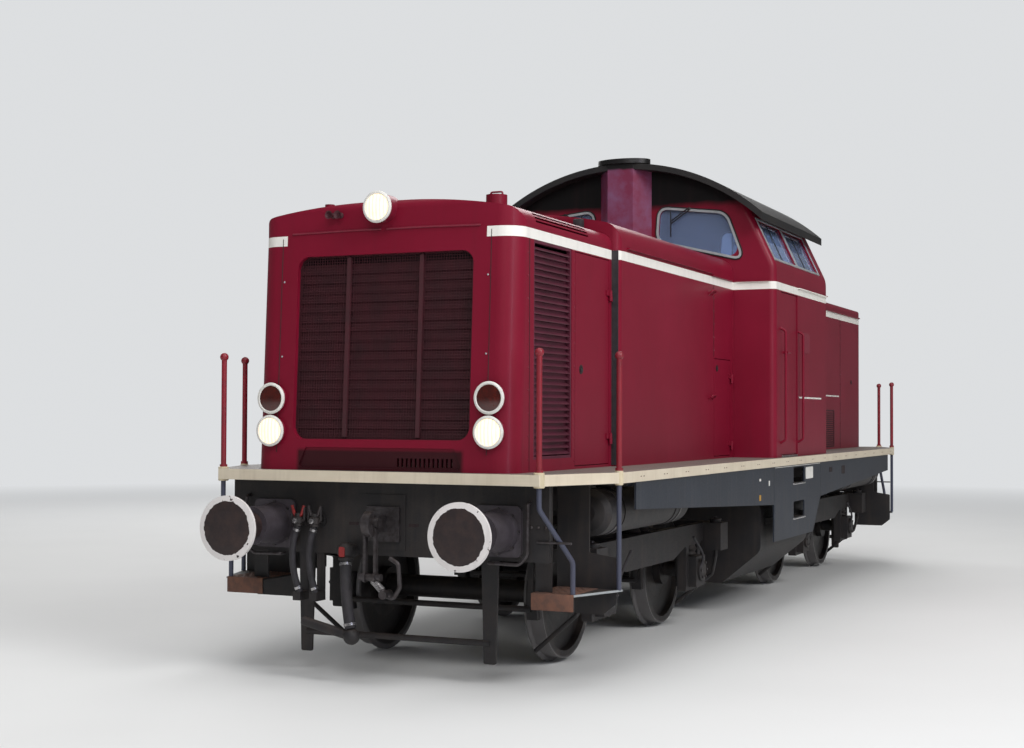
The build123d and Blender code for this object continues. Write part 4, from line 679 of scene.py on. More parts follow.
class Shape:
    """Collects closed pieces into one mesh and turns them into an object."""

    def __init__(self) -> None:
        """Starts empty."""
        self.bm = bmesh.new()

    def box(self, low: Point, high: Point, bevel: float = 0.0) -> None:
        """Adds a box between two corners.

        Args:
            low: One corner.
            high: The opposite corner.
            bevel: Width of the cut on its edges, or 0 for none.
        """
        a, b = Vector(low), Vector(high)
        made = bmesh.ops.create_cube(self.bm, size=1.0)["verts"]
        middle, size = (a + b) / 2, b - a
        for vert in made:
            vert.co = middle + Vector([c * abs(s) for c, s in zip(vert.co, size)])
        if bevel:
            edges = list({edge for vert in made for edge in vert.link_edges})
            bmesh.ops.bevel(self.bm, geom=edges, offset=bevel, segments=2, affect="EDGES", profile=0.5)

    def skin(self, rings: list[list[Vector]], closed: bool = False) -> None:
        """Joins rings of points of equal count into a closed skin.

        Args:
            rings: The rings, in order along the piece.
            closed: Whether the last ring meets the first, as in a hoop.
        """
        verts = [[self.bm.verts.new(p) for p in ring] for ring in rings]
        count = len(rings[0])
        pairs = list(zip(verts, verts[1:] + ([verts[0]] if closed else [])))
        for low, high in pairs[:len(rings) if closed else len(rings) - 1]:
            for i in range(count):
                j = (i + 1) % count
                self.bm.faces.new((low[i], low[j], high[j], high[i]))
        if not closed:
            self.bm.faces.new(verts[0])
            self.bm.faces.new(reversed(verts[-1]))

    def tube(self, points: list[Point], radius: float, sides: int = 10, bend: float = 0.0,
             closed: bool = False) -> None:
        """Adds a round bar along points.

        Args:
            points: The points it runs through.
            radius: Its radius.
            sides: How many flat sides its section has.
            bend: How far from each corner its bend begins.
            closed: Whether it comes back to its start.
        """
        route = bent(points, bend, closed)
        rings = []
        normal = Vector((0, 0, 1))
        for i, here in enumerate(route):
            before = route[i - 1] if i or closed else here
            after = route[(i + 1) % len(route)] if i + 1 < len(route) or closed else here
            run = (after - before).normalized()
            normal = normal - run * normal.dot(run)
            if normal.length < 0.01:
                normal = run.orthogonal()
            normal.normalize()
            across = run.cross(normal)
            rings.append([here + radius * (math.cos(a) * normal + math.sin(a) * across)
                          for a in (2 * math.pi * k / sides for k in range(sides))])
        self.skin(rings, closed)

    def lathe(self, profile: list[Pair], start: Point, along: Point, steps: int = 32) -> None:
        """Adds a turned piece.

        Args:
            profile: Pairs of distance along the axis and radius; the ends close by themselves.
            start: Where the axis starts.
            along: The axis's direction.
            steps: How many flat sides it has.
        """
        run = Vector(along).normalized()
        one = run.orthogonal().normalized()
        two = run.cross(one)
        self.skin([[Vector(start) + run * d + max(r, 1e-4) * (math.cos(a) * one + math.sin(a) * two)
                    for a in (2 * math.pi * k / steps for k in range(steps))] for d, r in profile])

    def prism(self, outline: list[Point], depth: Point) -> None:
        """Adds a flat plate.

        Args:
            outline: Its corners in order.
            depth: From its one face to the other.
        """
        self.skin([[Vector(p) for p in outline], [Vector(p) + Vector(depth) for p in outline]])

    def plate(self, middle: Point, facing: Point, size: Pair, bend: float, depth: float) -> None:
        """Adds an upright plate with round corners.

        Args:
            middle: The middle of its back.
            facing: The level direction that it faces.
            size: Its width and height.
            bend: How far from each corner its bend begins.
            depth: Its thickness.
        """
        out = Vector(facing).normalized()
        along = Vector((0, 0, 1)).cross(out) * size[0] / 2
        up = Vector((0, 0, size[1] / 2))
        corners = [Vector(middle) + along * a + up * b for a, b in ((-1, -1), (1, -1), (1, 1), (-1, 1))]
        self.prism(bent(corners, bend, True), out * depth)

    def hoop(self, corners: list[Point], bend: float, facing: Point, width: float, depth: float) -> None:
        """Adds a flat frame round an opening.

        Args:
            corners: The opening's corners, in order.
            bend: How far from each corner its bend begins.
            facing: The direction that the frame faces.
            width: How wide it is in its own plane.
            depth: How far it stands out.
        """
        out = Vector(facing).normalized()
        inner = bent(corners, bend, True)
        outer = widened(inner, out, width)
        lifted = [[p + out * depth for p in ring] for ring in (outer, inner)]
        self.skin([inner, outer, *lifted], closed=True)

    def mesh(self, name: str) -> bpy.types.Mesh:
        """Closes the work.

        Args:
            name: The mesh's name.

        Returns:
            The mesh, its faces pointing outwards.
        """
        bmesh.ops.recalc_face_normals(self.bm, faces=self.bm.faces[:])
        mesh = bpy.data.meshes.new(name)
        self.bm.to_mesh(mesh)
        self.bm.free()
        return mesh

    def place(self, name: str, finish: Finish | LampGlass, slot: str, body: str = UNDERFRAME) -> None:
        """Turns the work into a piece that rides on a body.

        Args:
            name: The piece's name.
            finish: What it is made of.
            slot: The record's material slot that it belongs to; it is not used.
            body: The body that carries it.
        """
        put(self.mesh(name), name, finish, body)


def bent(points: list[Point], bend: float, closed: bool) -> list[Vector]:
    """Rounds the corners of a rigid bar's route.

    Args:
        points: Its corners.
        bend: How far from each corner the bend begins.
        closed: Whether it comes back to its start.

    Returns:
        The route's points.
    """
    corners = [Vector(p) for p in points]
    if not bend:
        return corners
    route = [] if closed else [corners[0]]
    inner = range(len(corners)) if closed else range(1, len(corners) - 1)
    for i in inner:
        here = corners[i]
        back = corners[i - 1] - here
        ahead = corners[(i + 1) % len(corners)] - here
        a = here + back.normalized() * min(bend, back.length * 0.49)
        b = here + ahead.normalized() * min(bend, ahead.length * 0.49)
        for step in range(BEND_STEPS + 1):
            t = step / BEND_STEPS
            route.append(a * (1 - t) ** 2 + here * 2 * t * (1 - t) + b * t ** 2)
    if not closed:
        route.append(corners[-1])
    return route


def widened(route: list[Vector], facing: Vector, by: float) -> list[Vector]:
    """Moves a closed flat route outwards in its own plane.

    Args:
        route: The route's points.
        facing: The plane's direction.
        by: How far it moves.

    Returns:
        The wider route.
    """
    middle = sum(route, Vector()) / len(route)
    wide = []
    for before, here, after in zip(route[-1:] + route[:-1], route, route[1:] + route[:1]):
        outs = [(after - here).cross(facing).normalized(), (here - before).cross(facing).normalized()]
        outs = [-out if out.dot(here - middle) < 0 else out for out in outs]
        mean = (outs[0] + outs[1]).normalized()
        wide.append(here + mean * by / max(mean.dot(outs[0]), 0.5))
    return wide


def put(mesh: bpy.types.Mesh, name: str, finish: Finish | LampGlass,
        body: str = UNDERFRAME) -> None:
    """Makes a mesh a piece of the locomotive.

    Args:
        mesh: The mesh, in its place.
        name: The piece's name.
        finish: What it is made of.
        body: The body that carries it.
    """
    mesh.materials.clear()
    mesh.materials.append(finish.build())
    for face in mesh.polygons:
        face.use_smooth = True
    mesh.set_sharp_from_angle(angle=math.radians(SHARP))
    piece = bpy.data.objects.new(name, mesh)
    bpy.context.scene.collection.objects.link(piece)
    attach(piece, body)
    LOG.info("%s: %d faces on %s", name, len(mesh.polygons), body)


class Repeats:
    """Geometry Nodes trees for what repeats. Each is made once, and grown as often as it is needed."""

    def __init__(self) -> None:
        """Builds the trees."""
        self.studs = self.stud_tree()
        self.bars = self.bar_tree()
        self.cloth = self.cloth_tree()
        self.bolts = self.bolt_tree()

    @staticmethod
    def start(name: str, sizes: dict[str, str]) -> tuple[Tree, bpy.types.Node]:
        """Opens a tree with its named inputs.

        Args:
            name: The tree's name.
            sizes: The inputs' names and socket kinds.

        Returns:
            The tree and the node that its inputs come from.
        """
        tree = bpy.data.node_groups.new(name, "GeometryNodeTree")
        tree.interface.new_socket("Geometry", in_out="INPUT", socket_type="NodeSocketGeometry")
        for label, kind in sizes.items():
            tree.interface.new_socket(label, in_out="INPUT", socket_type=f"NodeSocket{kind}")
        tree.interface.new_socket("Material", in_out="INPUT", socket_type="NodeSocketMaterial")
        tree.interface.new_socket("Geometry", in_out="OUTPUT", socket_type="NodeSocketGeometry")
        return tree, tree.nodes.new("NodeGroupInput")

    @staticmethod
    def close(tree: Tree, given: bpy.types.Node, made: Socket) -> Tree:
        """Realizes the instances, dresses them and leads them out.

        Args:
            tree: The tree.
            given: The node that its inputs come from.
            made: The geometry so far.

        Returns:
            The tree.
        """
        real = add(tree, "GeometryNodeRealizeInstances", {0: made})
        dressed = add(tree, "GeometryNodeSetMaterial", {
            0: real.outputs[0], "Material": given.outputs["Material"]})
        add(tree, "NodeGroupOutput", {0: dressed.outputs[0]})
        return tree

    def stud_tree(self) -> Tree:
        """Makes the tree for domed rivet heads, one at each given point.

        Returns:
            The tree.
        """
        tree, given = self.start("rivet_heads", {"Radius": "Float", "Height": "Float", "Facing": "Vector"})
        share = add(tree, "ShaderNodeMath", {
            0: given.outputs["Height"], 1: given.outputs["Radius"]}, operation="DIVIDE")
        flat = add(tree, "ShaderNodeCombineXYZ", {0: 1.0, 1: 1.0, 2: share.outputs[0]})
        dome = add(tree, "GeometryNodeMeshUVSphere", {
            "Segments": 8, "Rings": 6, "Radius": given.outputs["Radius"]})
        turn = add(tree, "FunctionNodeAlignRotationToVector", {"Vector": given.outputs["Facing"]}, axis="Z")
        set_out = add(tree, "GeometryNodeInstanceOnPoints", {
            "Points": given.outputs[0], "Instance": dome.outputs[0], "Rotation": turn.outputs[0],
            "Scale": flat.outputs[0]})
        return self.close(tree, given, set_out.outputs[0])

    def bar_tree(self) -> Tree:
        """Makes the tree for a row of like bars, starting at each given point.

        Returns:
            The tree.
        """
        tree, given = self.start("bar_rows", {"Count": "Int", "Step": "Vector", "Size": "Vector",
                                              "Turn": "Vector"})
        line = add(tree, "GeometryNodeMeshLine", {
            "Count": given.outputs["Count"], "Offset": given.outputs["Step"]}, mode="OFFSET")
        bar = add(tree, "GeometryNodeMeshCube", {"Size": given.outputs["Size"]})
        row = add(tree, "GeometryNodeInstanceOnPoints", {
            "Points": line.outputs[0], "Instance": bar.outputs[0], "Rotation": given.outputs["Turn"]})
        rows = add(tree, "GeometryNodeInstanceOnPoints", {
            "Points": given.outputs[0], "Instance": row.outputs[0]})
        return self.close(tree, given, rows.outputs[0])

    def cloth_tree(self) -> Tree:
        """Makes the tree for wire cloth standing in Y and Z, its lower corner at each given point.

        Returns:
            The tree.
        """
        tree, given = self.start("wire_cloth", {"Width": "Float", "Height": "Float", "Pitch": "Float",
                                                "Wire": "Float"})
        runs = []
        for length, extent, axis in (("Height", "Width", 1), ("Width", "Height", 2)):
            count = add(tree, "ShaderNodeMath", {
                0: given.outputs[extent], 1: given.outputs["Pitch"]}, operation="DIVIDE")
            step = add(tree, "ShaderNodeCombineXYZ", {axis: given.outputs["Pitch"]})
            half = add(tree, "ShaderNodeMath", {0: given.outputs[length], 1: 0.5}, operation="MULTIPLY")
            begin = add(tree, "ShaderNodeCombineXYZ", {3 - axis: half.outputs[0]})
            line = add(tree, "GeometryNodeMeshLine", {
                "Count": count.outputs[0], "Start Location": begin.outputs[0], "Offset": step.outputs[0]},
                mode="OFFSET")
            size = add(tree, "ShaderNodeCombineXYZ", {
                0: given.outputs["Wire"], axis: given.outputs["Wire"], 3 - axis: given.outputs[length]})
            wire = add(tree, "GeometryNodeMeshCube", {"Size": size.outputs[0]})
            laid = add(tree, "GeometryNodeInstanceOnPoints", {
                "Points": line.outputs[0], "Instance": wire.outputs[0]})
            runs.append(laid.outputs[0])
        both = add(tree, "GeometryNodeJoinGeometry")
        for run in runs:
            tree.links.new(run, both.inputs[0])
        placed = add(tree, "GeometryNodeInstanceOnPoints", {
            "Points": given.outputs[0], "Instance": both.outputs[0]})
        return self.close(tree, given, placed.outputs[0])

    def bolt_tree(self) -> Tree:
        """Makes the tree for a circle of six-sided bolt heads round each given point.

        Returns:
            The tree.
        """
        tree, given = self.start("bolt_circles", {"Count": "Int", "Ring": "Float", "Radius": "Float",
                                                  "Depth": "Float", "Facing": "Vector"})
        circle = add(tree, "GeometryNodeMeshCircle", {
            "Vertices": given.outputs["Count"], "Radius": given.outputs["Ring"]})
        head = add(tree, "GeometryNodeMeshCylinder", {
            "Vertices": 6, "Radius": given.outputs["Radius"], "Depth": given.outputs["Depth"]})
        ring = add(tree, "GeometryNodeInstanceOnPoints", {
            "Points": circle.outputs[0], "Instance": head.outputs[0]})
        turn = add(tree, "FunctionNodeAlignRotationToVector", {"Vector": given.outputs["Facing"]}, axis="Z")
        rings = add(tree, "GeometryNodeInstanceOnPoints", {
            "Points": given.outputs[0], "Instance": ring.outputs[0], "Rotation": turn.outputs[0]})
        return self.close(tree, given, rings.outputs[0])

    @staticmethod
    def grow(tree: Tree, points: list[Point], finish: Finish, **sizes: object) -> bpy.types.Mesh:
        """Grows a tree on points and hands back a plain mesh.

        Args:
            tree: The tree.
            points: Where its shapes start.
            finish: What they are made of.
            **sizes: The tree's inputs, by name in small letters.

        Returns:
            The mesh.
        """
        seeds = bpy.data.meshes.new("seeds")
        seeds.from_pydata(points, [], [])
        holder = bpy.data.objects.new("holder", seeds)
        modifier = holder.modifiers.new("repeat", "NODES")
        modifier.node_group = tree
        names = {item.name.lower(): item.identifier for item in tree.interface.items_tree
                 if item.in_out == "INPUT"}
        for name, value in {**sizes, "material": finish.build()}.items():
            modifier[names[name]] = value
        bpy.context.scene.collection.objects.link(holder)
        graph = bpy.context.evaluated_depsgraph_get()
        mesh = bpy.data.meshes.new_from_object(holder.evaluated_get(graph))
        holder.modifiers.remove(modifier)
        bpy.data.objects.remove(holder)
        return mesh


REPEATS = Repeats()


def join(meshes: list[bpy.types.Mesh]) -> bpy.types.Mesh:
    """Puts several meshes into one.

    Args:
        meshes: The meshes, each in its place.

    Returns:
        One mesh with all their faces.
    """
    bm = bmesh.new()
    for mesh in meshes:
        bm.from_mesh(mesh)
    whole = bpy.data.meshes.new("joined")
    bm.to_mesh(whole)
    bm.free()
    return whole


@dataclass
class Studio:
    """The pale floor and background, the soft lamps and the camera at the photograph's place."""

    eye: Point = (14.787, 5.212, 1.820)
    heading: float = 1.9970776
    pitch: float = 0.0243169
    roll: float = 0.0035828
    focal_px: float = 1545.6
    width_px: int = 1024
    centre_drop_px: float = 5.0
    sensor_mm: float = 36.0
    clip: float = 300.0
    floor_r: float = 280.0
    floor_t: float = 0.02
    floor_tones: tuple[str, str] = ("#dadad9", "#e0e0df")
    near_r: float = 9.0
    far_r: float = 28.0
    strip: Pair = (1.2, 6.0)
    strip_place: Point = (11.5, 11.0, 4.0)
    strip_aim: Point = (10.5, 10.0, 4.0)
    strip_power: float = 160.0
    strip_tone: str = "#dfe6ff"
    sky: str = "#eceef0"
    sky_seen: float = 0.86
    sky_light: float = 0.34
    sky_mirrored: float = 0.16
    sky_through: float = 0.6

    def camera(self) -> None:
        """Sets the camera where the photograph was taken from."""
        lens = bpy.data.cameras.new("photograph_camera")
        lens.sensor_width = self.sensor_mm
        lens.lens = self.focal_px / self.width_px * lens.sensor_width
        lens.shift_y = self.centre_drop_px / self.width_px
        lens.clip_end = self.clip
        holder = bpy.data.objects.new("photograph_camera", lens)
        ahead = Vector((-math.sin(self.heading) * math.cos(self.pitch),
                        math.cos(self.heading) * math.cos(self.pitch), math.sin(self.pitch)))
        level = ahead.cross(Vector((0, 0, 1))).normalized()
        upright = level.cross(ahead)
        right = math.cos(self.roll) * level + math.sin(self.roll) * upright
        top = math.cos(self.roll) * upright - math.sin(self.roll) * level
        turn = Matrix((right, top, -ahead)).transposed()
        holder.matrix_world = Matrix.Translation(Vector(self.eye)) @ turn.to_4x4()
        bpy.context.scene.collection.objects.link(holder)
        bpy.context.scene.camera = holder

    def floor(self) -> None:
        """Lays the pale floor."""
        shape = Shape()
        shape.lathe([(0.0, self.floor_r), (self.floor_t, self.floor_r)], (0, 0, -self.floor_t), (0, 0, 1), 64)
        mesh = shape.mesh("studio_floor")
        material, tree, shader, place = opened("studio_floor")
        noise = add(tree, "ShaderNodeTexNoise", {"Vector": place, "Scale": 0.6})
        first, second = (linear(code) for code in self.floor_tones)
        tone = add(tree, "ShaderNodeMix", {0: noise.outputs[0], 6: first, 7: second}, data_type="RGBA")
        tree.links.new(tone.outputs[2], shader.inputs["Base Color"])
        shader.inputs["Roughness"].default_value = 0.85
        # the floor's far part turns into the background's own light, so that no horizon shows
        away = add(tree, "ShaderNodeVectorMath", {0: place, 1: (0.0, 0.0, 0.0)}, operation="DISTANCE")
        far = add(tree, "ShaderNodeMapRange", {
            0: away.outputs["Value"], 1: self.near_r, 2: self.far_r, 3: 0.0, 4: 1.0})
        camera_ray = add(tree, "ShaderNodeLightPath").outputs["Is Camera Ray"]
        seen = add(tree, "ShaderNodeMath", {0: far.outputs[0], 1: camera_ray}, operation="MULTIPLY")
        back = add(tree, "ShaderNodeEmission", {"Color": linear(self.sky), "Strength": self.sky_seen})
        fade = add(tree, "ShaderNodeMixShader", {
            0: seen.outputs[0], 1: shader.outputs[0], 2: back.outputs[0]})
        tree.links.new(fade.outputs[0], tree.nodes["Material Output"].inputs["Surface"])
        mesh.materials.append(material)
        ground = bpy.data.objects.new("studio_floor", mesh)
        bpy.context.scene.collection.objects.link(ground)

    def hang(self, lamp: bpy.types.Light, place: Point, aim: Point) -> None:
        """Hangs a lamp so that it shines on a point.

        Args:
            lamp: The lamp.
            place: Where it hangs.
            aim: The point.
        """
        holder = bpy.data.objects.new(lamp.name, lamp)
        turn = (Vector(aim) - Vector(place)).to_track_quat("-Z", "Y").to_matrix().to_4x4()
        holder.matrix_world = Matrix.Translation(Vector(place)) @ turn
        bpy.context.scene.collection.objects.link(holder)

    def lights(self) -> None:
        """Hangs large soft lamps, and a cool upright strip for the round corners' sheen."""
        # each lamp's name, place, aim, width in metres and power in watts
        for name, place, aim, size, power in (
                ("overhead", (5.0, 0.5, 17.0), (4.0, 0.0, 0.0), 14.0, 900.0),
                ("key", (9.0, 15.0, 13.0), (0.0, 0.0, 1.5), 9.0, 2100.0),
                ("front_fill", (16.0, 4.0, 11.0), (4.0, 0.0, 1.5), 8.0, 620.0),
                ("far_fill", (-10.0, -14.0, 11.0), (0.0, 0.0, 1.5), 10.0, 800.0),
                ("back_fill", (-13.0, -3.0, 13.0), (0.0, 0.0, 1.5), 9.0, 700.0)):
            lamp = bpy.data.lights.new(name, "AREA")
            lamp.shape = "DISK"
            lamp.size = size
            lamp.energy = power
            self.hang(lamp, place, aim)
        strip = bpy.data.lights.new("corner_strip", "AREA")
        strip.shape = "RECTANGLE"
        strip.size, strip.size_y = self.strip
        strip.energy = self.strip_power
        strip.color = linear(self.strip_tone)[:3]
        self.hang(strip, self.strip_place, self.strip_aim)

    def background(self) -> None:
        """Sets a pale background of unlike strength as light, in mirrors, through glass and when seen."""
        world = bpy.data.worlds.new("studio")
        world.use_nodes = True
        tree = world.node_tree
        sky = tree.nodes["Background"]
        path = add(tree, "ShaderNodeLightPath")
        strength = self.sky_light
        # each kind of ray takes its own share over the one before
        for ray, share in (("Is Glossy Ray", self.sky_mirrored), ("Is Transmission Ray", self.sky_through),
                           ("Is Camera Ray", self.sky_seen)):
            mixed = add(tree, "ShaderNodeMapRange", {0: path.outputs[ray], 3: strength, 4: share})
            strength = mixed.outputs[0]
        sky.inputs["Color"].default_value = linear(self.sky)
        tree.links.new(strength, sky.inputs["Strength"])
        bpy.context.scene.world = world
        bpy.context.scene.view_settings.view_transform = "Standard"


@dataclass(frozen=True)
class Hose:
    """One free hose: its route is the construction's, in metres."""

    name: str
    points: tuple[Point, ...]
    radius: float
    length: float


@dataclass
class Hoses:
    """The brake and heating hoses at the long hood's end."""

    hoses: tuple[Hose, ...] = (
        Hose("brake_hose_1", ((5.520, -0.640, 1.048), (5.548, -0.722, 0.836), (5.505, -0.630, 0.588)),
             radius=0.023, length=0.487),
        Hose("brake_hose_2", ((5.520, -0.505, 1.048), (5.548, -0.582, 0.840), (5.505, -0.500, 0.588)),
             radius=0.023, length=0.483),
        Hose("heating_hose", ((5.540, -0.240, 0.828), (5.590, -0.215, 0.598), (5.610, -0.158, 0.370)),
             radius=0.039, length=0.472),
    )

    def build(self) -> None:
        """Makes each hose one smooth curve through its route."""
        for hose in self.hoses:
            curve = bpy.data.curves.new(f"{hose.name}_rubber", "CURVE")
            curve.dimensions = "3D"
            curve.bevel_depth = hose.radius
            curve.bevel_resolution = 5
            curve.resolution_u = 24
            curve.use_fill_caps = True
            spline = curve.splines.new("NURBS")
            spline.points.add(len(hose.points) - 1)
            for point, place in zip(spline.points, hose.points):
                point.co = (*place, 1.0)
            spline.order_u = 3
            spline.use_endpoint_u = True
            curve.materials.append(RUBBER.build())
            piece = bpy.data.objects.new(f"{hose.name}_rubber", curve)
            bpy.context.scene.collection.objects.link(piece)
            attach(piece, UNDERFRAME)
            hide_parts(hose.name)
            LOG.info("%s: one curve", hose.name)


# each construction node's finish; wheelsets are dressed one by one
DRESS = {
    BODY: ("nose_walls", "wide_hood_walls", "nose_roof", "wide_roof", "short_hood_walls", "short_hood_roof",
           "nose_door_left", "nose_door_right", "engine_door_left", "engine_door_right", "cab_door_left",
           "cab_door_right"),
    CAB_PAINT: ("cab_walls",),
    STACK_PAINT: ("exhaust_stack",),
    CHASSIS: ("frame", "fuel_tank", "air_tanks", "steps", "bogie_frame_front", "bogie_frame_rear",
              "axle_boxes_front", "axle_boxes_rear", "brake_gear_front", "brake_gear_rear",
              "transmission_block", "boiler_block", "engine_block", "pipe_ends"),
    SKIRT: ("skirts", "side_panels"),
    DECK: ("deck",),
    ROOF: ("cab_roof",),
    SLAT: ("front_grille",),
    LOUVRE: ("side_grilles",),
    SLEEVE: ("buffer_sleeves",),
    FORGED: ("drawgear",),
    BUFFER: ("buffer_heads",),
    RAIL: ("corner_posts",),
    GLASS: ("cab_glass",),
    TRIM: ("lamps",),
    CAST: ("fan_rotor", "fan_ring"),
    DESK: ("cab_fittings",),
}


def dress_nodes() -> None:
    """Gives every construction node its finish."""
    for finish, names in DRESS.items():
        for name in names:
            dress(name, finish)
    # rolled steel, dusty on its discs and rubbed bright on its tread
    axles = [end * (PIVOT_X + along) for end in ENDS for along in (AXLE_X, -AXLE_X)]
    for number, axle_x in enumerate(axles, 1):
        steel = WheelSteel(f"wheelset_steel_{number}", "#232122", "#352d29", patch_mm=90, patch=0.7,
                           dust="#4f4238", dusty=0.3, rough=0.5, metal=0.3, axle_x=axle_x)
        dress(f"wheelset_{number}", steel)


def dress(name: str, finish: Finish | Glass) -> None:
    """Gives one construction node its finish.

    Args:
        name: The node.
        finish: What it is made of.
    """
    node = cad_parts[name]
    node.data.materials.clear()
    node.data.materials.append(finish.build())


def latch_cup(place: Point, side: Side, radius: float, rim: float, key: float) -> Shape:
    """Turns a latch's round cup with its square key inside.

    Args:
        place: The cup's middle on the left wall.
        side: The side that it is for.
        radius: The cup's radius.
        rim: How wide its rim is.
        key: Half the key's width.

    Returns:
        The cup, not yet placed.
    """
    x, y, z = place
    back = side * (y - 0.001)
    cup = Shape()
    cup.lathe([(0.0, radius), (0.004, radius), (0.004, radius - rim), (0.001, radius - rim - 0.004)],
              (x, back, z), (0, side, 0), 20)
    cup.box((x - key, back, z - key - 0.003), (x + key, back + side * 0.007, z + key + 0.003), 0.002)
    return cup


@dataclass
class Nose:
    """The long hood's end: wire cloth, radiator core, seams, rivets, latches and drip strips."""

    grille_y: float = 0.69
    grille_z: Pair = (FLANGE + 1.631, FLANGE + 2.915)
    pitch: float = 0.02
    wire: float = 0.0035
    cloth_back: float = 0.036
    core_x: float = 5.24
    core_y: float = 0.94
    core_t: float = 0.05
    core_over: Pair = (0.01, 0.06)
    fin_pitch: float = 0.02
    fin: Pair = (0.02, 0.003)
    side_x: float = 4.85
    side_z: Pair = (FLANGE + 1.5, STRIPE_TOP - STRIPE)
    shutter: Point = (0.64, 0.004, 0.041)
    shutter_pitch: float = 0.044
    shutter_in: float = 0.037
    shutter_turn: float = 0.08
    seam_x: float = 5.265
    seam_y: float = 0.82
    seam_half: float = 0.003
    drip_points: tuple[Pair, ...] = ((0.02, 0.018), (0.30, 0.018), (0.74, 0.012))
    door_front: float = 4.45
    screw_y: float = 0.80
    screw_z: Pair = (2.239, 2.769)
    latch: Pair = (4.331, 2.165)
    roof_r: float = 5.2
    seal_y: float = 0.79
    seal_parts: int = 24
    flap_y: float = 0.75
    flap: Point = (0.064, 0.074, 0.085)
    horns: tuple[Pair, ...] = ((-0.407, 0.060), (-0.346, 0.045))
    horn_z: float = FLANGE + 3.196

    def grille(self) -> None:
        """Stretches wire cloth in the grille's opening and stands the radiator's core behind it."""
        low, high = self.grille_z
        cloth = REPEATS.grow(
            REPEATS.cloth, [(0.0, -self.grille_y, 0.0)], SLAT, width=2 * self.grille_y, height=high - low,
            pitch=self.pitch, wire=self.wire)
        lean = math.atan(NOSE_LEAN / (STRIPE_TOP - DECK_TOP))
        foot = Matrix.Translation((lean_x(low) - self.cloth_back, 0, low))
        cloth.transform(foot @ Matrix.Rotation(-lean, 4, "Y"))
        put(cloth, "grille_wire_cloth", SLAT)
        core = Shape()
        aside, over = self.core_over
        core.box((self.core_x, -self.core_y - aside, low - over),
                 (self.core_x + self.core_t, self.core_y + aside, high + over), 0.004)
        first = (self.core_x + self.core_t + 0.005, -self.core_y, (low + high) / 2)
        fins = REPEATS.grow(
            REPEATS.bars, [first], CHASSIS, count=round(2 * self.core_y / self.fin_pitch) + 1,
            step=(0, self.fin_pitch, 0), size=(*self.fin, high - low + 0.04), turn=(0, 0, 0))
        put(join([core.mesh("core"), fins]), "radiator_core", CHASSIS)

    def louvres(self) -> None:
        """Closes the side grilles' gaps with shutter blades behind their slats."""
        blades = []
        low, high = self.side_z
        count = int((high - low - 0.08) / self.shutter_pitch)
        for side in Side:
            first = (self.side_x, side * (NOSE_Y - self.shutter_in), low + 0.05)
            blades.append(REPEATS.grow(
                REPEATS.bars, [first], LOUVRE, count=count, step=(0, 0, self.shutter_pitch),
                size=self.shutter, turn=(side * self.shutter_turn, 0, 0)))
        put(join(blades), "side_grille_shutters", LOUVRE)

    def seams(self) -> None:
        """Lays the panel seams on the nose's front and sides, and the drip strips under its roof."""
        seams = Shape()
        strips = Shape()
        for side in Side:
            y = side * NOSE_Y
            seams.box((self.seam_x - self.seam_half, y - side * 0.004, DECK_TOP + 0.01),
                      (self.seam_x + self.seam_half, y + side * 0.002, STRIPE_TOP - STRIPE))
            route = [(lean_x(z), side * self.seam_y, z) for z in (DECK_TOP + 0.12, STRIPE_TOP - 0.02)]
            seams.tube(route, 0.0028, 6)
            route = [(lean_x(STRIPE_TOP) + 0.004, side * out, STRIPE_TOP + lift)
                     for out, lift in self.drip_points]
            strips.tube(route, 0.007, 8)
        seams.place("nose_seams", SEAM, "dark_paint")
        strips.place("nose_drip_strips", TRIM, "crimson_paint")

    def rivets(self) -> None:
        """Rows of rivets beside the side seams and doors, and two light screws a side on the front."""
        rows = []
        screws = []
        for side in Side:
            facing = (0.0, float(side), 0.0)
            y = side * (NOSE_Y + 0.001)
            points = [(self.seam_x + 0.022, y, DECK_TOP + 0.09 + 0.155 * i) for i in range(10)]
            points += [(self.door_front + 0.014, y, DECK_TOP + 0.06 + 0.085 * i) for i in range(18)]
            rows.append(REPEATS.grow(REPEATS.studs, points, TRIM, radius=0.008, height=0.004, facing=facing))
            front = [(lean_x(z) + 0.001, side * self.screw_y, z) for z in self.screw_z]
            screws.append(REPEATS.grow(
                REPEATS.studs, front, FRAME, radius=0.007, height=0.004, facing=(1.0, 0.0, 0.05)))
        put(join(rows), "nose_rivets", TRIM)
        put(join(screws), "nose_screws", FRAME)

    def latches(self) -> None:
        """Sets a round latch cup with its square key into each nose door."""
        for side in Side:
            x, z = self.latch
            cup = latch_cup((x, NOSE_Y, z), side, radius=0.034, rim=0.006, key=0.009)
            cup.place(f"nose_latch_{side.word}", CHASSIS, "dark_paint", f"nose_door_{side.word}")

    def roof_step(self) -> None:
        """Lays the rubber seal where the wider hood begins, on both sides and the roof, with two flaps; on
        the sides it is a dark strip over the step face, painted shade in the gap between the hoods.
        """
        seal = Shape()
        half = self.seal_parts // 2
        seal.tube([(STEP_X + 0.012, y, crown_z(NOSE_CROWN, self.roof_r, y) + 0.006)
                   for y in (self.seal_y * (i / half - 1) for i in range(self.seal_parts + 1))], 0.02, 8)
        long, wide, tall = self.flap
        for side in Side:
            y = side * self.flap_y
            z = crown_z(NOSE_CROWN, self.roof_r, y)
            seal.box((STEP_X - 0.004, y - wide / 2, z),
                     (STEP_X - 0.004 + long, y + wide / 2, z + tall), 0.010)
            # a dark rubber strip over the step face: painted shade in the gap between the hoods
            seal.box((STEP_X - 0.002, side * (NOSE_Y - 0.002), DECK_TOP + 0.010),
                     (STEP_X + 0.006, side * (WIDE_Y - 0.007), STRIPE_TOP))
        seal.place("roof_step_seal", RUBBER, "hose_rubber")

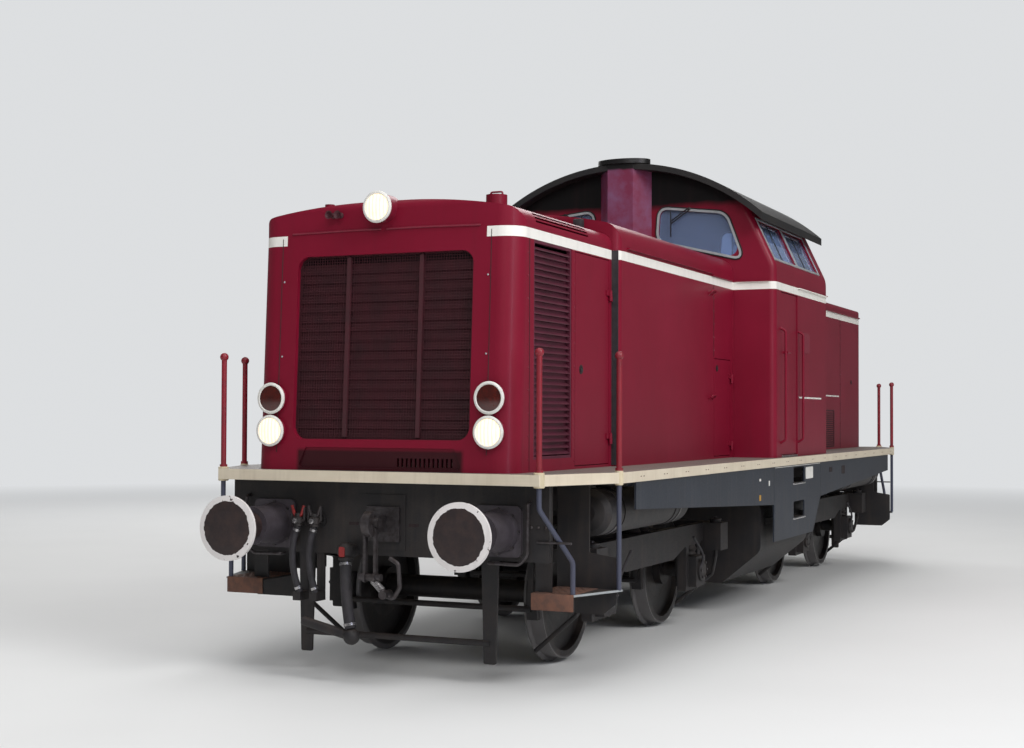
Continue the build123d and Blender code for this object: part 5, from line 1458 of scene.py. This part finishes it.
    def horn(self) -> None:
        """Two short horn trumpets side by side under the roof's front edge, facing ahead."""
        horn = Shape()
        for y, reach in self.horns:
            start = (lean_x(STRIPE_TOP) - 0.012, y, self.horn_z)
            horn.lathe([(0.0, 0.020), (0.022, 0.020), (0.026, 0.010), (0.02 + reach * 0.6, 0.016),
                        (0.02 + reach, 0.028), (0.024 + reach, 0.030), (0.022 + reach, 0.024),
                        (0.02 + reach * 0.7, 0.010)], start, (1, 0, 0), 24)
        horn.place("horn_trumpets", SLAT, "crimson_paint")

    def build(self) -> None:
        """Builds everything on the nose."""
        self.grille()
        self.louvres()
        self.seams()
        self.rivets()
        self.latches()
        self.roof_step()
        self.horn()


@dataclass
class Hoods:
    """The wider hood's and the short hood's seams, latches, white lines and vent panel."""

    # each seam's x, the y of its wall and its lower end
    seam_lines: tuple[Point, ...] = ((1.245, WIDE_Y, FLANGE + 2.34), (-4.247, NOSE_Y, DECK_TOP + 0.01))
    rivet_step: float = 0.12
    rivet_aside: float = 0.022
    vent_x: Pair = (-3.882, -3.457)
    vent_z: Pair = (FLANGE + 1.458, FLANGE + 1.870)
    vent_slats: int = 16
    vent_turn: float = 0.8
    # each white line's first and last x, the y of its wall and its height
    line_runs: tuple[tuple[float, ...], ...] = ((-1.218, -0.266, CAB_Y, FLANGE + 1.990),
                                                (-4.177, -3.457, NOSE_Y, FLANGE + 2.055))
    engine_latch: Point = (1.147, WIDE_Y, FLANGE + 2.24)
    short_latch: Point = (-4.872, NOSE_Y, FLANGE + 2.242)

    def seams(self) -> None:
        """Lays the upright panel seams and their rivets."""
        seams = Shape()
        rows = []
        for side in Side:
            facing = (0.0, float(side), 0.0)
            for x, y, low in self.seam_lines:
                seams.box((x - 0.003, side * (y - 0.004), low),
                          (x + 0.003, side * (y + 0.002), STRIPE_TOP - STRIPE))
                count = int((STRIPE_TOP - STRIPE - low) / self.rivet_step)
                points = [(x + aside, side * (y + 0.001), low + self.rivet_step * (i + 0.5))
                          for i in range(count) for aside in (-self.rivet_aside, self.rivet_aside)]
                rows.append(REPEATS.grow(
                    REPEATS.studs, points, TRIM, radius=0.007, height=0.0035, facing=facing))
        seams.place("hood_seams", SEAM, "dark_paint")
        put(join(rows), "hood_rivets", TRIM)

    def vents(self) -> None:
        """Louvred vent panels low on the short hood's sides."""
        panel = Shape()
        slats = []
        rear, front = self.vent_x
        low, high = self.vent_z
        for side in Side:
            y = side * NOSE_Y
            corners = [(rear, y, low), (front, y, low), (front, y, high), (rear, y, high)]
            panel.hoop(corners, 0.012, (0, side, 0), 0.016, 0.006)
            first = ((rear + front) / 2, y + side * 0.002, low + 0.02)
            slats.append(REPEATS.grow(
                REPEATS.bars, [first], SLAT, count=self.vent_slats,
                step=(0, 0, (high - low - 0.04) / (self.vent_slats - 1)),
                size=(front - rear - 0.004, 0.016, 0.004), turn=(side * -self.vent_turn, 0, 0)))
        put(join([panel.mesh("rims"), *slats]), "short_hood_vents", SLAT)

    def lines(self) -> None:
        """Thin white lines along the cab's rear part and the short hood."""
        lines = Shape()
        for side in Side:
            for x0, x1, y, z in self.line_runs:
                lines.box((x0, side * (y - 0.002), z - 0.008),
                          (x1, side * (y + 0.0012), z + 0.008))
        lines.place("white_lines", WHITE, "cream_paint")

    def latches(self) -> None:
        """Round latches on the engine doors and on the short hood's panels."""
        for side in Side:
            for name, place, body in (("engine", self.engine_latch, f"engine_door_{side.word}"),
                                      ("short_hood", self.short_latch, UNDERFRAME)):
                cup = latch_cup(place, side, radius=0.03, rim=0.005, key=0.008)
                cup.place(f"{name}_latch_{side.word}", CHASSIS, "dark_paint", body)

    def build(self) -> None:
        """Builds the hoods' small work."""
        self.seams()
        self.vents()
        self.lines()
        self.latches()


@dataclass
class Cab:
    """The cab's window frames, seals, wipers, plates and the driver's instruments."""

    window: tuple[Pair, ...] = ((1.160, 3.300), (0.330, 3.500), (0.350, 3.800), (1.000, 3.725))
    bend: float = 0.085
    side_windows: tuple[Pair, ...] = ((-1.190, -0.330), (-0.280, 0.560))
    side_z: Pair = (FLANGE + 3.290, FLANGE + 3.660)
    wiper_pivot: Pair = (0.643, FLANGE + 3.79)
    wiper_joint: Pair = (0.462, FLANGE + 3.662)
    wiper_blade: Pair = (FLANGE + 3.525, FLANGE + 3.775)
    arm_lift: float = 0.012
    arm_r: float = 0.006
    plate: Pair = (-0.55, FLANGE + 2.54)
    plate_size: Pair = (0.3, 0.2)
    sill_x: Pair = (-0.20, 0.40)
    desk_slope: Point = (-0.16, 0.0, 0.28)
    dial_y: tuple[float, ...] = (0.30, 0.44, 0.58, -0.30, -0.44, -0.58)
    dial_at: Pair = (0.31, 2.739)
    wheel_y: Pair = (0.12, -0.12)
    wheel_at: Pair = (0.25, 2.70)
    wheel_r: float = 0.045
    seat_places: tuple[Pair, ...] = ((-0.25, 0.48), (-0.65, -0.48))
    seat_half: float = 0.195
    cushion_z: Pair = (2.43, 2.485)
    back_z: Pair = (2.53, 2.90)

    def end_frames(self) -> None:
        """Light metal frames in black rubber round the four end windows."""
        frames = Shape()
        seals = Shape()
        for x, out in ((CAB_X, 1), (CAB_REAR, -1)):
            for side in Side:
                corners = [(x, side * y, FLANGE + z) for y, z in self.window]
                frames.hoop(corners, self.bend, (out, 0, 0), 0.022, 0.009)
                edge = widened(bent(corners, self.bend, True), Vector((out, 0, 0)), 0.027)
                seals.tube([p + Vector((out * 0.002, 0, 0)) for p in edge], 0.008, 6, closed=True)
        frames.place("end_window_frames", FRAME, "cab_trim")
        seals.place("end_window_seals", SEAL, "hose_rubber")

    def side_frames(self) -> None:
        """Light metal frames and dark middle posts in the cab's leaning side windows."""
        frames = Shape()
        seals = Shape()
        low, high = self.side_z
        for side in Side:
            facing = Vector((0, side, CAB_LEAN)).normalized()
            for x0, x1 in self.side_windows:
                corners = [(x, side * wall_y(z), z)
                           for x, z in ((x0, low), (x1, low), (x1, high), (x0, high))]
                frames.hoop(corners, 0.0, facing, 0.020, 0.008)
                inner = [Vector(p) - facing * 0.03 for p in corners]
                seals.tube(inner, 0.012, 6, closed=True)
                seals.tube([(inner[0] + inner[1]) / 2, (inner[2] + inner[3]) / 2], 0.014, 6)
        frames.place("side_window_frames", FRAME, "cab_trim")
        seals.place("side_window_seals", SEAL, "hose_rubber")

    def wipers(self) -> None:
        """One parked wiper on each end window: a hub, two parallel arms and an upright blade."""
        wipers = Shape()
        low, high = self.wiper_blade
        pivot, joint = self.wiper_pivot, self.wiper_joint
        for x, out in ((CAB_X, 1), (CAB_REAR, -1)):
            for side in Side:
                pivot_y, joint_y = side * pivot[0], side * joint[0]
                wipers.lathe([(0.0, 0.016), (0.012, 0.016), (0.018, 0.008)], (x, pivot_y, pivot[1]),
                             (out, 0, 0), 16)
                for lift in (-self.arm_lift, self.arm_lift):
                    wipers.tube([(x + out * 0.012, pivot_y, pivot[1] + lift),
                                 (x + out * 0.024, joint_y, joint[1] + lift)], self.arm_r, 6)
                wipers.box((x + out * 0.010, joint_y - 0.005, low),
                           (x + out * 0.024, joint_y + 0.005, high), 0.002)
        wipers.place("wipers", SEAL, "hose_rubber")

    def plates(self) -> None:
        """A blank plate behind each cab door, and the worn sill plate under it."""
        blank = Shape()
        sill = Shape()
        x, z = self.plate
        for side in Side:
            blank.plate((x, side * (CAB_Y - 0.001), z), (0, side, 0), self.plate_size, 0.05,
                        0.006)
            sill.box((self.sill_x[0], side * (CAB_Y - 0.004), DECK_TOP + 0.002),
                     (self.sill_x[1], side * (CAB_Y + 0.006), DECK_TOP + 0.018), 0.002)
        blank.place("blank_side_plates", TRIM, "crimson_paint")
        sill.place("door_sill_plates", BRIGHT, "worn_steel")

    def desk(self) -> None:
        """Dials without figures and two control wheels on the driver's desk."""
        rims = Shape()
        faces = Shape()
        knobs = Shape()
        slope = Vector(self.desk_slope).normalized()
        for y in self.dial_y:
            start = Vector((self.dial_at[0], y, self.dial_at[1]))
            rims.lathe([(-0.004, 0.055), (0.012, 0.055), (0.012, 0.047), (0.006, 0.044)], start, slope, 24)
            faces.lathe([(0.0, 0.046), (0.007, 0.046)], start, slope, 24)
            knobs.box(start + slope * 0.007 - Vector((0.0, 0.0015, 0)), start + slope * 0.0095
                      + Vector((0.028, 0.0015, 0.018)))
        for y in self.wheel_y:
            start = Vector((self.wheel_at[0], y, self.wheel_at[1]))
            rims.lathe([(0.0, 0.012), (0.06, 0.012), (0.062, 0.02), (0.075, 0.02)], start, slope, 16)
            hub = start + slope * 0.072
            knobs.tube([hub + Vector((self.wheel_r * math.cos(a), self.wheel_r * math.sin(a), 0)) for a in
                        (math.pi * i / 8 for i in range(16))], 0.006, 6, closed=True)
            knobs.tube([hub - Vector((0, self.wheel_r, 0)), hub + Vector((0, self.wheel_r, 0))], 0.004, 6)
        rims.place("dial_rims", SEAL, "cab_trim")
        faces.place("dial_faces", WHITE, "cab_trim")
        knobs.place("desk_controls", LEVER, "cab_trim")

    def seats(self) -> None:
        """Padded cushions on the two seats."""
        pads = Shape()
        half = self.seat_half
        for x, y in self.seat_places:
            low, high = self.cushion_z
            pads.box((x - half, y - half, low), (x + half, y + half, high), 0.024)
            low, high = self.back_z
            pads.box((x - half + 0.02, y - half, low), (x - half + 0.07, y + half, high), 0.022)
        pads.place("seat_cushions", VINYL, "cab_trim")

    def build(self) -> None:
        """Builds the cab's fittings."""
        self.end_frames()
        self.side_frames()
        self.wipers()
        self.plates()
        self.desk()
        self.seats()


@dataclass
class Lamps:
    """The lamps' lenses in their white rings, at both ends."""

    radius: float = 0.105
    ring: float = 0.017
    lens: float = 0.085
    front: float = 0.045
    top_front: float = 0.105
    y: float = 0.851
    low_z: float = FLANGE + 1.687
    high_z: float = FLANGE + 1.915
    top_z: float = FLANGE + 3.226

    def one(self, rings: Shape, lenses: Shape, start: Point, end: int) -> None:
        """Adds one lamp's ring and domed lens.

        Args:
            rings: The shape that takes the ring.
            lenses: The shape that takes the lens.
            start: The lamp's front centre.
            end: The way that it faces along x.
        """
        r = self.radius
        rings.lathe([(-0.012, r + 0.002), (0.004, r + 0.006), (0.010, r), (0.012, r - self.ring * 0.6),
                     (0.006, r - self.ring), (-0.004, r - self.ring - 0.002)], start, (end, 0, 0), 40)
        lenses.lathe([(0.0, self.lens + 0.006), (0.007, self.lens + 0.004), (0.013, self.lens * 0.75),
                      (0.018, self.lens * 0.4), (0.019, 0.0)], start, (end, 0, 0), 40)

    def build(self) -> None:
        """Builds the rings, the lit lenses and the dark red ones."""
        rings = Shape()
        lit = Shape()
        dark = Shape()
        for end in ENDS:
            white = lit if end > 0 else dark
            for side in Side:
                for z, lenses in ((self.low_z, white), (self.high_z, dark)):
                    face = lean_x(z) if end > 0 else -SHORT_X
                    self.one(rings, lenses, (end * (face + self.front), side * self.y, z), end)
            face = NOSE_X - NOSE_LEAN if end > 0 else -SHORT_X
            self.one(rings, white, (end * (face + self.top_front), 0.0, self.top_z), end)
        rings.place("lamp_rings", WHITE, "lamp_shell")
        lit.place("lit_lamp_lenses", LAMP_LIT, "lamp_shell")
        dark.place("dark_lamp_lenses", LAMP_DARK, "lamp_shell")


@dataclass
class Roofs:
    """Small work on the roofs: the fan's wire guard, the filler's grip and the stack's rim."""

    fan_x: float = 4.3
    guard_r: tuple[float, ...] = (0.16, 0.205, 0.295, 0.34, 0.425, 0.465)
    guard_drop: float = 0.008
    cap: Point = (4.99, 0.64, FLANGE + 3.345)
    grip: Pair = (0.045, 0.022)
    stack: Pair = (0.688, 4.304)
    stack_half: Pair = (0.072, 0.129)

    @staticmethod
    def ring(middle: Point, half: Pair, parts: int) -> list[Point]:
        """Finds the points of a level oval.

        Args:
            middle: Its middle.
            half: Half its length along x and along y.
            parts: How many points it has.

        Returns:
            The points.
        """
        x, y, z = middle
        angles = [2 * math.pi * i / parts for i in range(parts)]
        return [(x + half[0] * math.cos(a), y + half[1] * math.sin(a), z) for a in angles]

    def build(self) -> None:
        """Builds the guard's rings, the grip and the rim."""
        guard = Shape()
        for radius in self.guard_r:
            middle = (self.fan_x, 0.0, NOSE_CROWN - self.guard_drop)
            guard.tube(self.ring(middle, (radius, radius), 48), 0.0045, 6, closed=True)
        guard.place("fan_guard_wires", FORGED, "grille_steel")
        grip = Shape()
        x, y, top = self.cap
        half, rise = self.grip
        grip.tube([(x, y - half, top - 0.004), (x, y - half, top + rise), (x, y + half, top + rise),
                   (x, y + half, top - 0.004)], 0.007, 8, bend=0.015)
        grip.place("filler_cap_grip", TRIM, "crimson_paint")
        rim = Shape()
        rim.tube(self.ring((self.stack[0], 0.0, self.stack[1]), self.stack_half, 36), 0.007, 8, closed=True)
        rim.place("stack_rim", ROOF, "black_paint")


@dataclass
class Sides:
    """The skirts' plates, the foot holes' lips, the drains under the deck and the air tanks' bands."""

    foot_x: Pair = (-0.31, 0.15)
    foot_z: Pair = (FLANGE + 1.158, FLANGE + 0.824)
    # each mark's x, height over the rail, width and height
    pale_marks: tuple[tuple[float, ...], ...] = ((-0.498, 1.245, 0.299, 0.116), (1.337, 1.235, 0.050, 0.022),
                                                 (1.028, 1.195, 0.032, 0.046), (-0.07, 1.328, 1.77, 0.006))
    yellow_marks: tuple[tuple[float, ...], ...] = ((1.337, 1.076, 0.052, 0.050),)
    dark_marks: tuple[tuple[float, ...], ...] = ((-2.046, 1.230, 0.16, 0.09), (-1.443, 1.248, 0.14, 0.05))
    drain_x: float = 4.465
    drain_step: float = 0.508
    drains_a_side: int = 19
    drain_y: float = 1.5485
    drain_drop: float = 0.038
    tank_y: float = 1.23
    tank_z: float = FLANGE + 1.12
    tank_r: float = 0.165
    band_x: tuple[float, ...] = (3.15, 4.52)
    band_w: float = 0.04

    def lips(self) -> None:
        """Bright worn lips under the foot holes."""
        lips = Shape()
        for side in Side:
            for z in self.foot_z:
                lips.box((self.foot_x[0], side * (SKIRT_Y - 0.02), z - 0.012),
                         (self.foot_x[1], side * (SKIRT_Y + 0.010), z + 0.006), 0.004)
        lips.place("foot_hole_lips", BRIGHT, "worn_steel")

    def plates(self) -> None:
        """Blank plates and marks along the skirts."""
        for name, finish, marks in (("pale_plates", WHITE, self.pale_marks),
                                    ("yellow_plates", YELLOW, self.yellow_marks),
                                    ("dark_plates", SEAM, self.dark_marks)):
            shape = Shape()
            for side in Side:
                for x, z, width, height in marks:
                    shape.plate((x, side * (SKIRT_Y - 0.001), FLANGE + z), (0, side, 0),
                                (width, height), min(width, height) * 0.15, 0.003)
            shape.place(name, finish, "slate_paint")

    def drains(self) -> None:
        """Rusty drain lips under the walkway's pale edge, about half a metre apart."""
        points = [(self.drain_x - self.drain_step * i, side * self.drain_y, DECK_TOP - self.drain_drop)
                  for i in range(self.drains_a_side) for side in Side]
        put(REPEATS.grow(REPEATS.bars, points, RUST, count=2, step=(0.06, 0, 0), size=(0.022, 0.004, 0.007),
                         turn=(0, 0, 0)), "drain_lips", RUST)

    def tanks(self) -> None:
        """Strap bands round the air tanks."""
        bands = Shape()
        low, high = self.tank_r - 0.006, self.tank_r + 0.005
        for end in ENDS:
            for side in Side:
                for x in self.band_x:
                    start = (end * x - self.band_w / 2, side * self.tank_y, self.tank_z)
                    bands.lathe([(0.0, low), (0.0, high), (self.band_w, high), (self.band_w, low)], start,
                                (1, 0, 0), 40)
        bands.place("air_tank_bands", FORGED, "dark_paint")

    def build(self) -> None:
        """Builds the sides' small work."""
        self.lips()
        self.plates()
        self.drains()
        self.tanks()


@dataclass
class Steps:
    """Cream collars on the posts, and rusted boards and ribbed treads on the corner steps."""

    front_x: float = 5.325
    rear_x: float = 4.864
    in_y: float = 1.06
    out_y: float = 1.365
    rear_out_y: float = 1.533
    top: float = FLANGE + 0.615
    board: float = 0.11
    # each post's x, y and collar radius
    posts: tuple[Point, ...] = ((5.582, 1.227, 0.037), (4.889, 1.521, 0.029))
    collar_drop: float = 0.012
    collar_rise: float = 0.014
    ribs: int = 10
    rib_step: float = 0.045

    def collars(self) -> None:
        """Cream collars where the posts pass the deck's edge."""
        collars = Shape()
        foot = DECK_TOP - BAND - self.collar_drop
        height = DECK_TOP + self.collar_rise - foot
        for end in ENDS:
            for side in Side:
                for x, y, r in self.posts:
                    collars.lathe([(0.0, r - 0.004), (0.004, r), (height - 0.004, r), (height, r - 0.006)],
                                  (end * x, side * y, foot), (0, 0, 1), 24)
        collars.place("post_collars", CREAM, "cream_paint")

    def build(self) -> None:
        """Builds the collars, the boards' skins, the ribs on the treads and their worn outer edges."""
        self.collars()
        skins = Shape()
        edges = Shape()
        rows = []
        for end in ENDS:
            for side in Side:
                y0, y1 = side * self.in_y, side * self.out_y
                skins.box((end * (self.front_x - 0.006), y0, self.top - self.board),
                          (end * (self.front_x + 0.003), y1, self.top + 0.002), 0.002)
                skins.box((end * (self.rear_x + 0.004), y0, self.top - 0.006),
                          (end * (self.front_x + 0.001), y1, self.top + 0.003), 0.002)
                edges.tube([(end * self.front_x, y1, self.top - 0.005),
                            (end * self.rear_x, side * self.rear_out_y, self.top - 0.005)], 0.008, 8)
                starts = [(end * (self.rear_x + 0.03 + self.rib_step * i),
                           y0 + side * 0.03 * (i % 2 + 0.6), self.top + 0.0035)
                          for i in range(self.ribs)]
                rows.append(REPEATS.grow(
                    REPEATS.bars, starts, RUST, count=5, step=(0, side * 0.055, 0),
                    size=(0.032, 0.006, 0.003), turn=(0, 0, end * side * 0.7)))
        put(join([skins.mesh("skins"), *rows]), "rusted_step_treads", RUST)
        edges.place("worn_tread_edges", FRAME, "worn_steel")


@dataclass
class Ends:
    """What hangs on the headstocks: bolts, handles, levers, hose clamps and the coupling's thread."""

    base_bolts: int = 8
    base_ring: float = 0.148
    small_y: Point = (1.107, 1.158, 1.209)
    small_z: float = FLANGE + 1.06
    # the handle's route: y and height over the rail
    handle: tuple[Pair, ...] = ((1.10, 1.215), (1.097, 0.876), (1.039, 0.814), (0.809, 0.818))
    handle_x: Pair = (HEAD_X - 0.004, HEAD_X + 0.045)
    lamp_bar: Point = (1.151, 1.397, FLANGE + 0.965)
    slot_y: Pair = (-0.24, 0.23)
    slot_z: float = FLANGE + 1.046
    slot: Pair = (0.078, 0.022)
    cock_y: Pair = (-0.640, -0.505)
    cock: Pair = (5.52, FLANGE + 1.06)
    valve: Point = (5.588, -0.24, FLANGE + 0.86)
    screw_top: Point = (5.62, 0.0, FLANGE + 0.70)
    screw_low: Point = (5.62, 0.12, FLANGE + 0.59)
    thread_pitch: float = 0.008

    def bolts(self) -> None:
        """Eight bolts round each buffer's base plate, and small ones in a row on the headstock."""
        heads = []
        for end in ENDS:
            facing = (float(end), 0.0, 0.0)
            bases = [(end * (HEAD_X + 0.029), side * BUFFER_Y, BUFFER_Z) for side in Side]
            heads.append(REPEATS.grow(
                REPEATS.bolts, bases, FORGED, count=self.base_bolts, ring=self.base_ring, radius=0.014,
                depth=0.014, facing=facing))
            small = [(end * (HEAD_X + 0.003), side * y, self.small_z) for side in Side
                     for y in self.small_y]
            heads.append(REPEATS.grow(
                REPEATS.studs, small, FORGED, radius=0.012, height=0.008, facing=facing))
        put(join(heads), "headstock_bolts", FORGED)

    def handles(self) -> None:
        """The shunter's bent handles beside the buffers, and a short lamp bar."""
        handles = Shape()
        for end in ENDS:
            back, out = (end * x for x in self.handle_x)
            for side in Side:
                route = [(back, side * self.handle[0][0], self.handle[0][1] + 0.010)]
                route += [(out, side * y, z) for y, z in self.handle]
                route += [(back, side * self.handle[-1][0], self.handle[-1][1])]
                handles.tube([(x, y, FLANGE + z) for x, y, z in route], 0.012, 8, bend=0.03)
                y0, y1, z = self.lamp_bar
                handles.tube([(end * (HEAD_X + 0.008), side * y, z) for y in (y0, y1)], 0.008, 8)
        handles.place("shunters_handles", FORGED, "worn_steel")

    def slots(self) -> None:
        """Dark slots beside the draw hooks."""
        slots = Shape()
        for end in ENDS:
            for y in self.slot_y:
                slots.plate((end * (HEAD_X - 0.001), end * y, self.slot_z), (end, 0, 0), self.slot, 0.008,
                            0.0025)
        slots.place("headstock_slots", SEAM, "dark_paint")

    def cocks(self) -> None:
        """Forked levers on the brake cocks, red on the first, their nuts, and the valve's red cover."""
        red = Shape()
        plain = Shape()
        nuts = Shape()
        for end in ENDS:
            x, z = end * self.cock[0], self.cock[1]
            for y, levers in zip(self.cock_y, (red, plain)):
                for fork in (-1, 1):
                    levers.tube([(x, end * y, z + 0.02), (x, end * y + fork * 0.028, z + 0.04),
                                 (x, end * y + fork * 0.05, z + 0.104)], 0.0115, 8, bend=0.012)
                nuts.lathe([(0.0, 0.020), (0.014, 0.020), (0.016, 0.012), (0.026, 0.012)],
                           (end * (self.cock[0] + 0.034), end * y, z), (end, 0, 0), 6)
            red.plate((end * self.valve[0], end * self.valve[1], self.valve[2]), (end, 0, 0), (0.045, 0.07),
                      0.015, 0.010)
        red.place("red_levers", LEVER, "rail_paint")
        plain.place("plain_levers", FORGED, "worn_steel")
        nuts.place("cock_nuts", BRIGHT, "worn_steel")

    def clamps(self, hoses: tuple[Hose, ...]) -> None:
        """Bands that clamp the hoses on their sockets.

        Args:
            hoses: The hoses that they hold.
        """
        bands = Shape()
        for hose in hoses:
            a, b, c = (Vector(p) for p in hose.points)
            low, high = hose.radius - 0.003, hose.radius + 0.004
            for t in (0.06, 0.94):
                here = a * (1 - t) ** 2 + b * 2 * t * (1 - t) + c * t ** 2
                run = ((b - a) * (1 - t) + (c - b) * t).normalized()
                bands.lathe([(0.0, low), (0.0, high), (0.018, high), (0.018, low)], here - run * 0.009, run,
                            24)
        bands.place("hose_clamps", BRIGHT, "worn_steel")

    def thread(self) -> None:
        """The coupling screw's thread between its two nuts."""
        thread = Shape()
        for end in ENDS:
            top, low = (Vector((end * x, end * y, z)) for x, y, z in (self.screw_top, self.screw_low))
            ridges = [(0.03, 0.018)]
            for i in range(int(((low - top).length - 0.065) / self.thread_pitch)):
                start = 0.034 + self.thread_pitch * i
                ridges += [(start, 0.027), (start + self.thread_pitch / 2, 0.0225)]
            thread.lathe(ridges, top, low - top, 20)
        thread.place("coupling_thread", BRIGHT, "worn_steel")

    def build(self, hoses: tuple[Hose, ...]) -> None:
        """Builds everything on the headstocks.

        Args:
            hoses: The hoses that hang on the front one.
        """
        self.bolts()
        self.handles()
        self.slots()
        self.cocks()
        self.clamps(hoses)
        self.thread()


@dataclass
class Bogies:
    """Bolts on the axle boxes' covers, sandbox lids and cables; each piece rides on its bogie."""

    cover_y: float = 1.192
    cover_bolts: int = 6
    ring: float = 0.068
    sand: Point = (1.5, 1.17, FLANGE + 0.885)
    # the cable's route from the frame to the axle box: along from the pivot, aside and up
    cable: tuple[Point, ...] = ((0.77, 1.20, FLANGE + 0.78), (1.05, 1.21, FLANGE + 0.60),
                                (1.02, 1.17, FLANGE + 0.48))
    cable_r: float = 0.011

    def build(self) -> None:
        """Builds both bogies' small work."""
        for end, word in ((1, "front"), (-1, "rear")):
            self.one(end * PIVOT_X, f"bogie_{word}", word)

    def one(self, pivot: float, body: str, word: str) -> None:
        """Builds one bogie's small work.

        Args:
            pivot: The bogie's middle along x.
            body: The bogie's body.
            word: Its word in the pieces' names.
        """
        heads = []
        lids = Shape()
        cables = Shape()
        sand_x, sand_y, sand_z = self.sand
        for side in Side:
            covers = [(pivot + x, side * self.cover_y, AXLE_Z) for x in (AXLE_X, -AXLE_X)]
            heads.append(REPEATS.grow(
                REPEATS.bolts, covers, FORGED, count=self.cover_bolts, ring=self.ring, radius=0.011,
                depth=0.012, facing=(0.0, float(side), 0.0)))
            for turn in (1, -1):
                lids.lathe([(0.0, 0.054), (0.006, 0.056), (0.010, 0.050), (0.012, 0.018), (0.024, 0.016)],
                           (pivot + turn * sand_x, side * sand_y, sand_z), (0, 0, 1), 24)
                cables.tube([(pivot + turn * x, side * y, z) for x, y, z in self.cable], self.cable_r, 8,
                            bend=0.12)
        put(join(heads), f"axle_cover_bolts_{word}", FORGED, body)
        lids.place(f"sandbox_lids_{word}", FORGED, "worn_steel", body)
        cables.place(f"axle_cables_{word}", RUBBER, "hose_rubber", body)


def main() -> None:
    """Builds the locomotive's pieces in order."""
    logging.basicConfig(level=logging.INFO, format="%(name)s %(message)s")
    studio = Studio()
    studio.camera()
    hoses = Hoses()
    hoses.build()
    studio.floor()
    studio.lights()
    studio.background()
    dress_nodes()
    Nose().build()
    Lamps().build()
    Hoods().build()
    Cab().build()
    Roofs().build()
    Sides().build()
    Steps().build()
    Ends().build(hoses.hoses)
    Bogies().build()


if __name__ == "__main__":
    main()
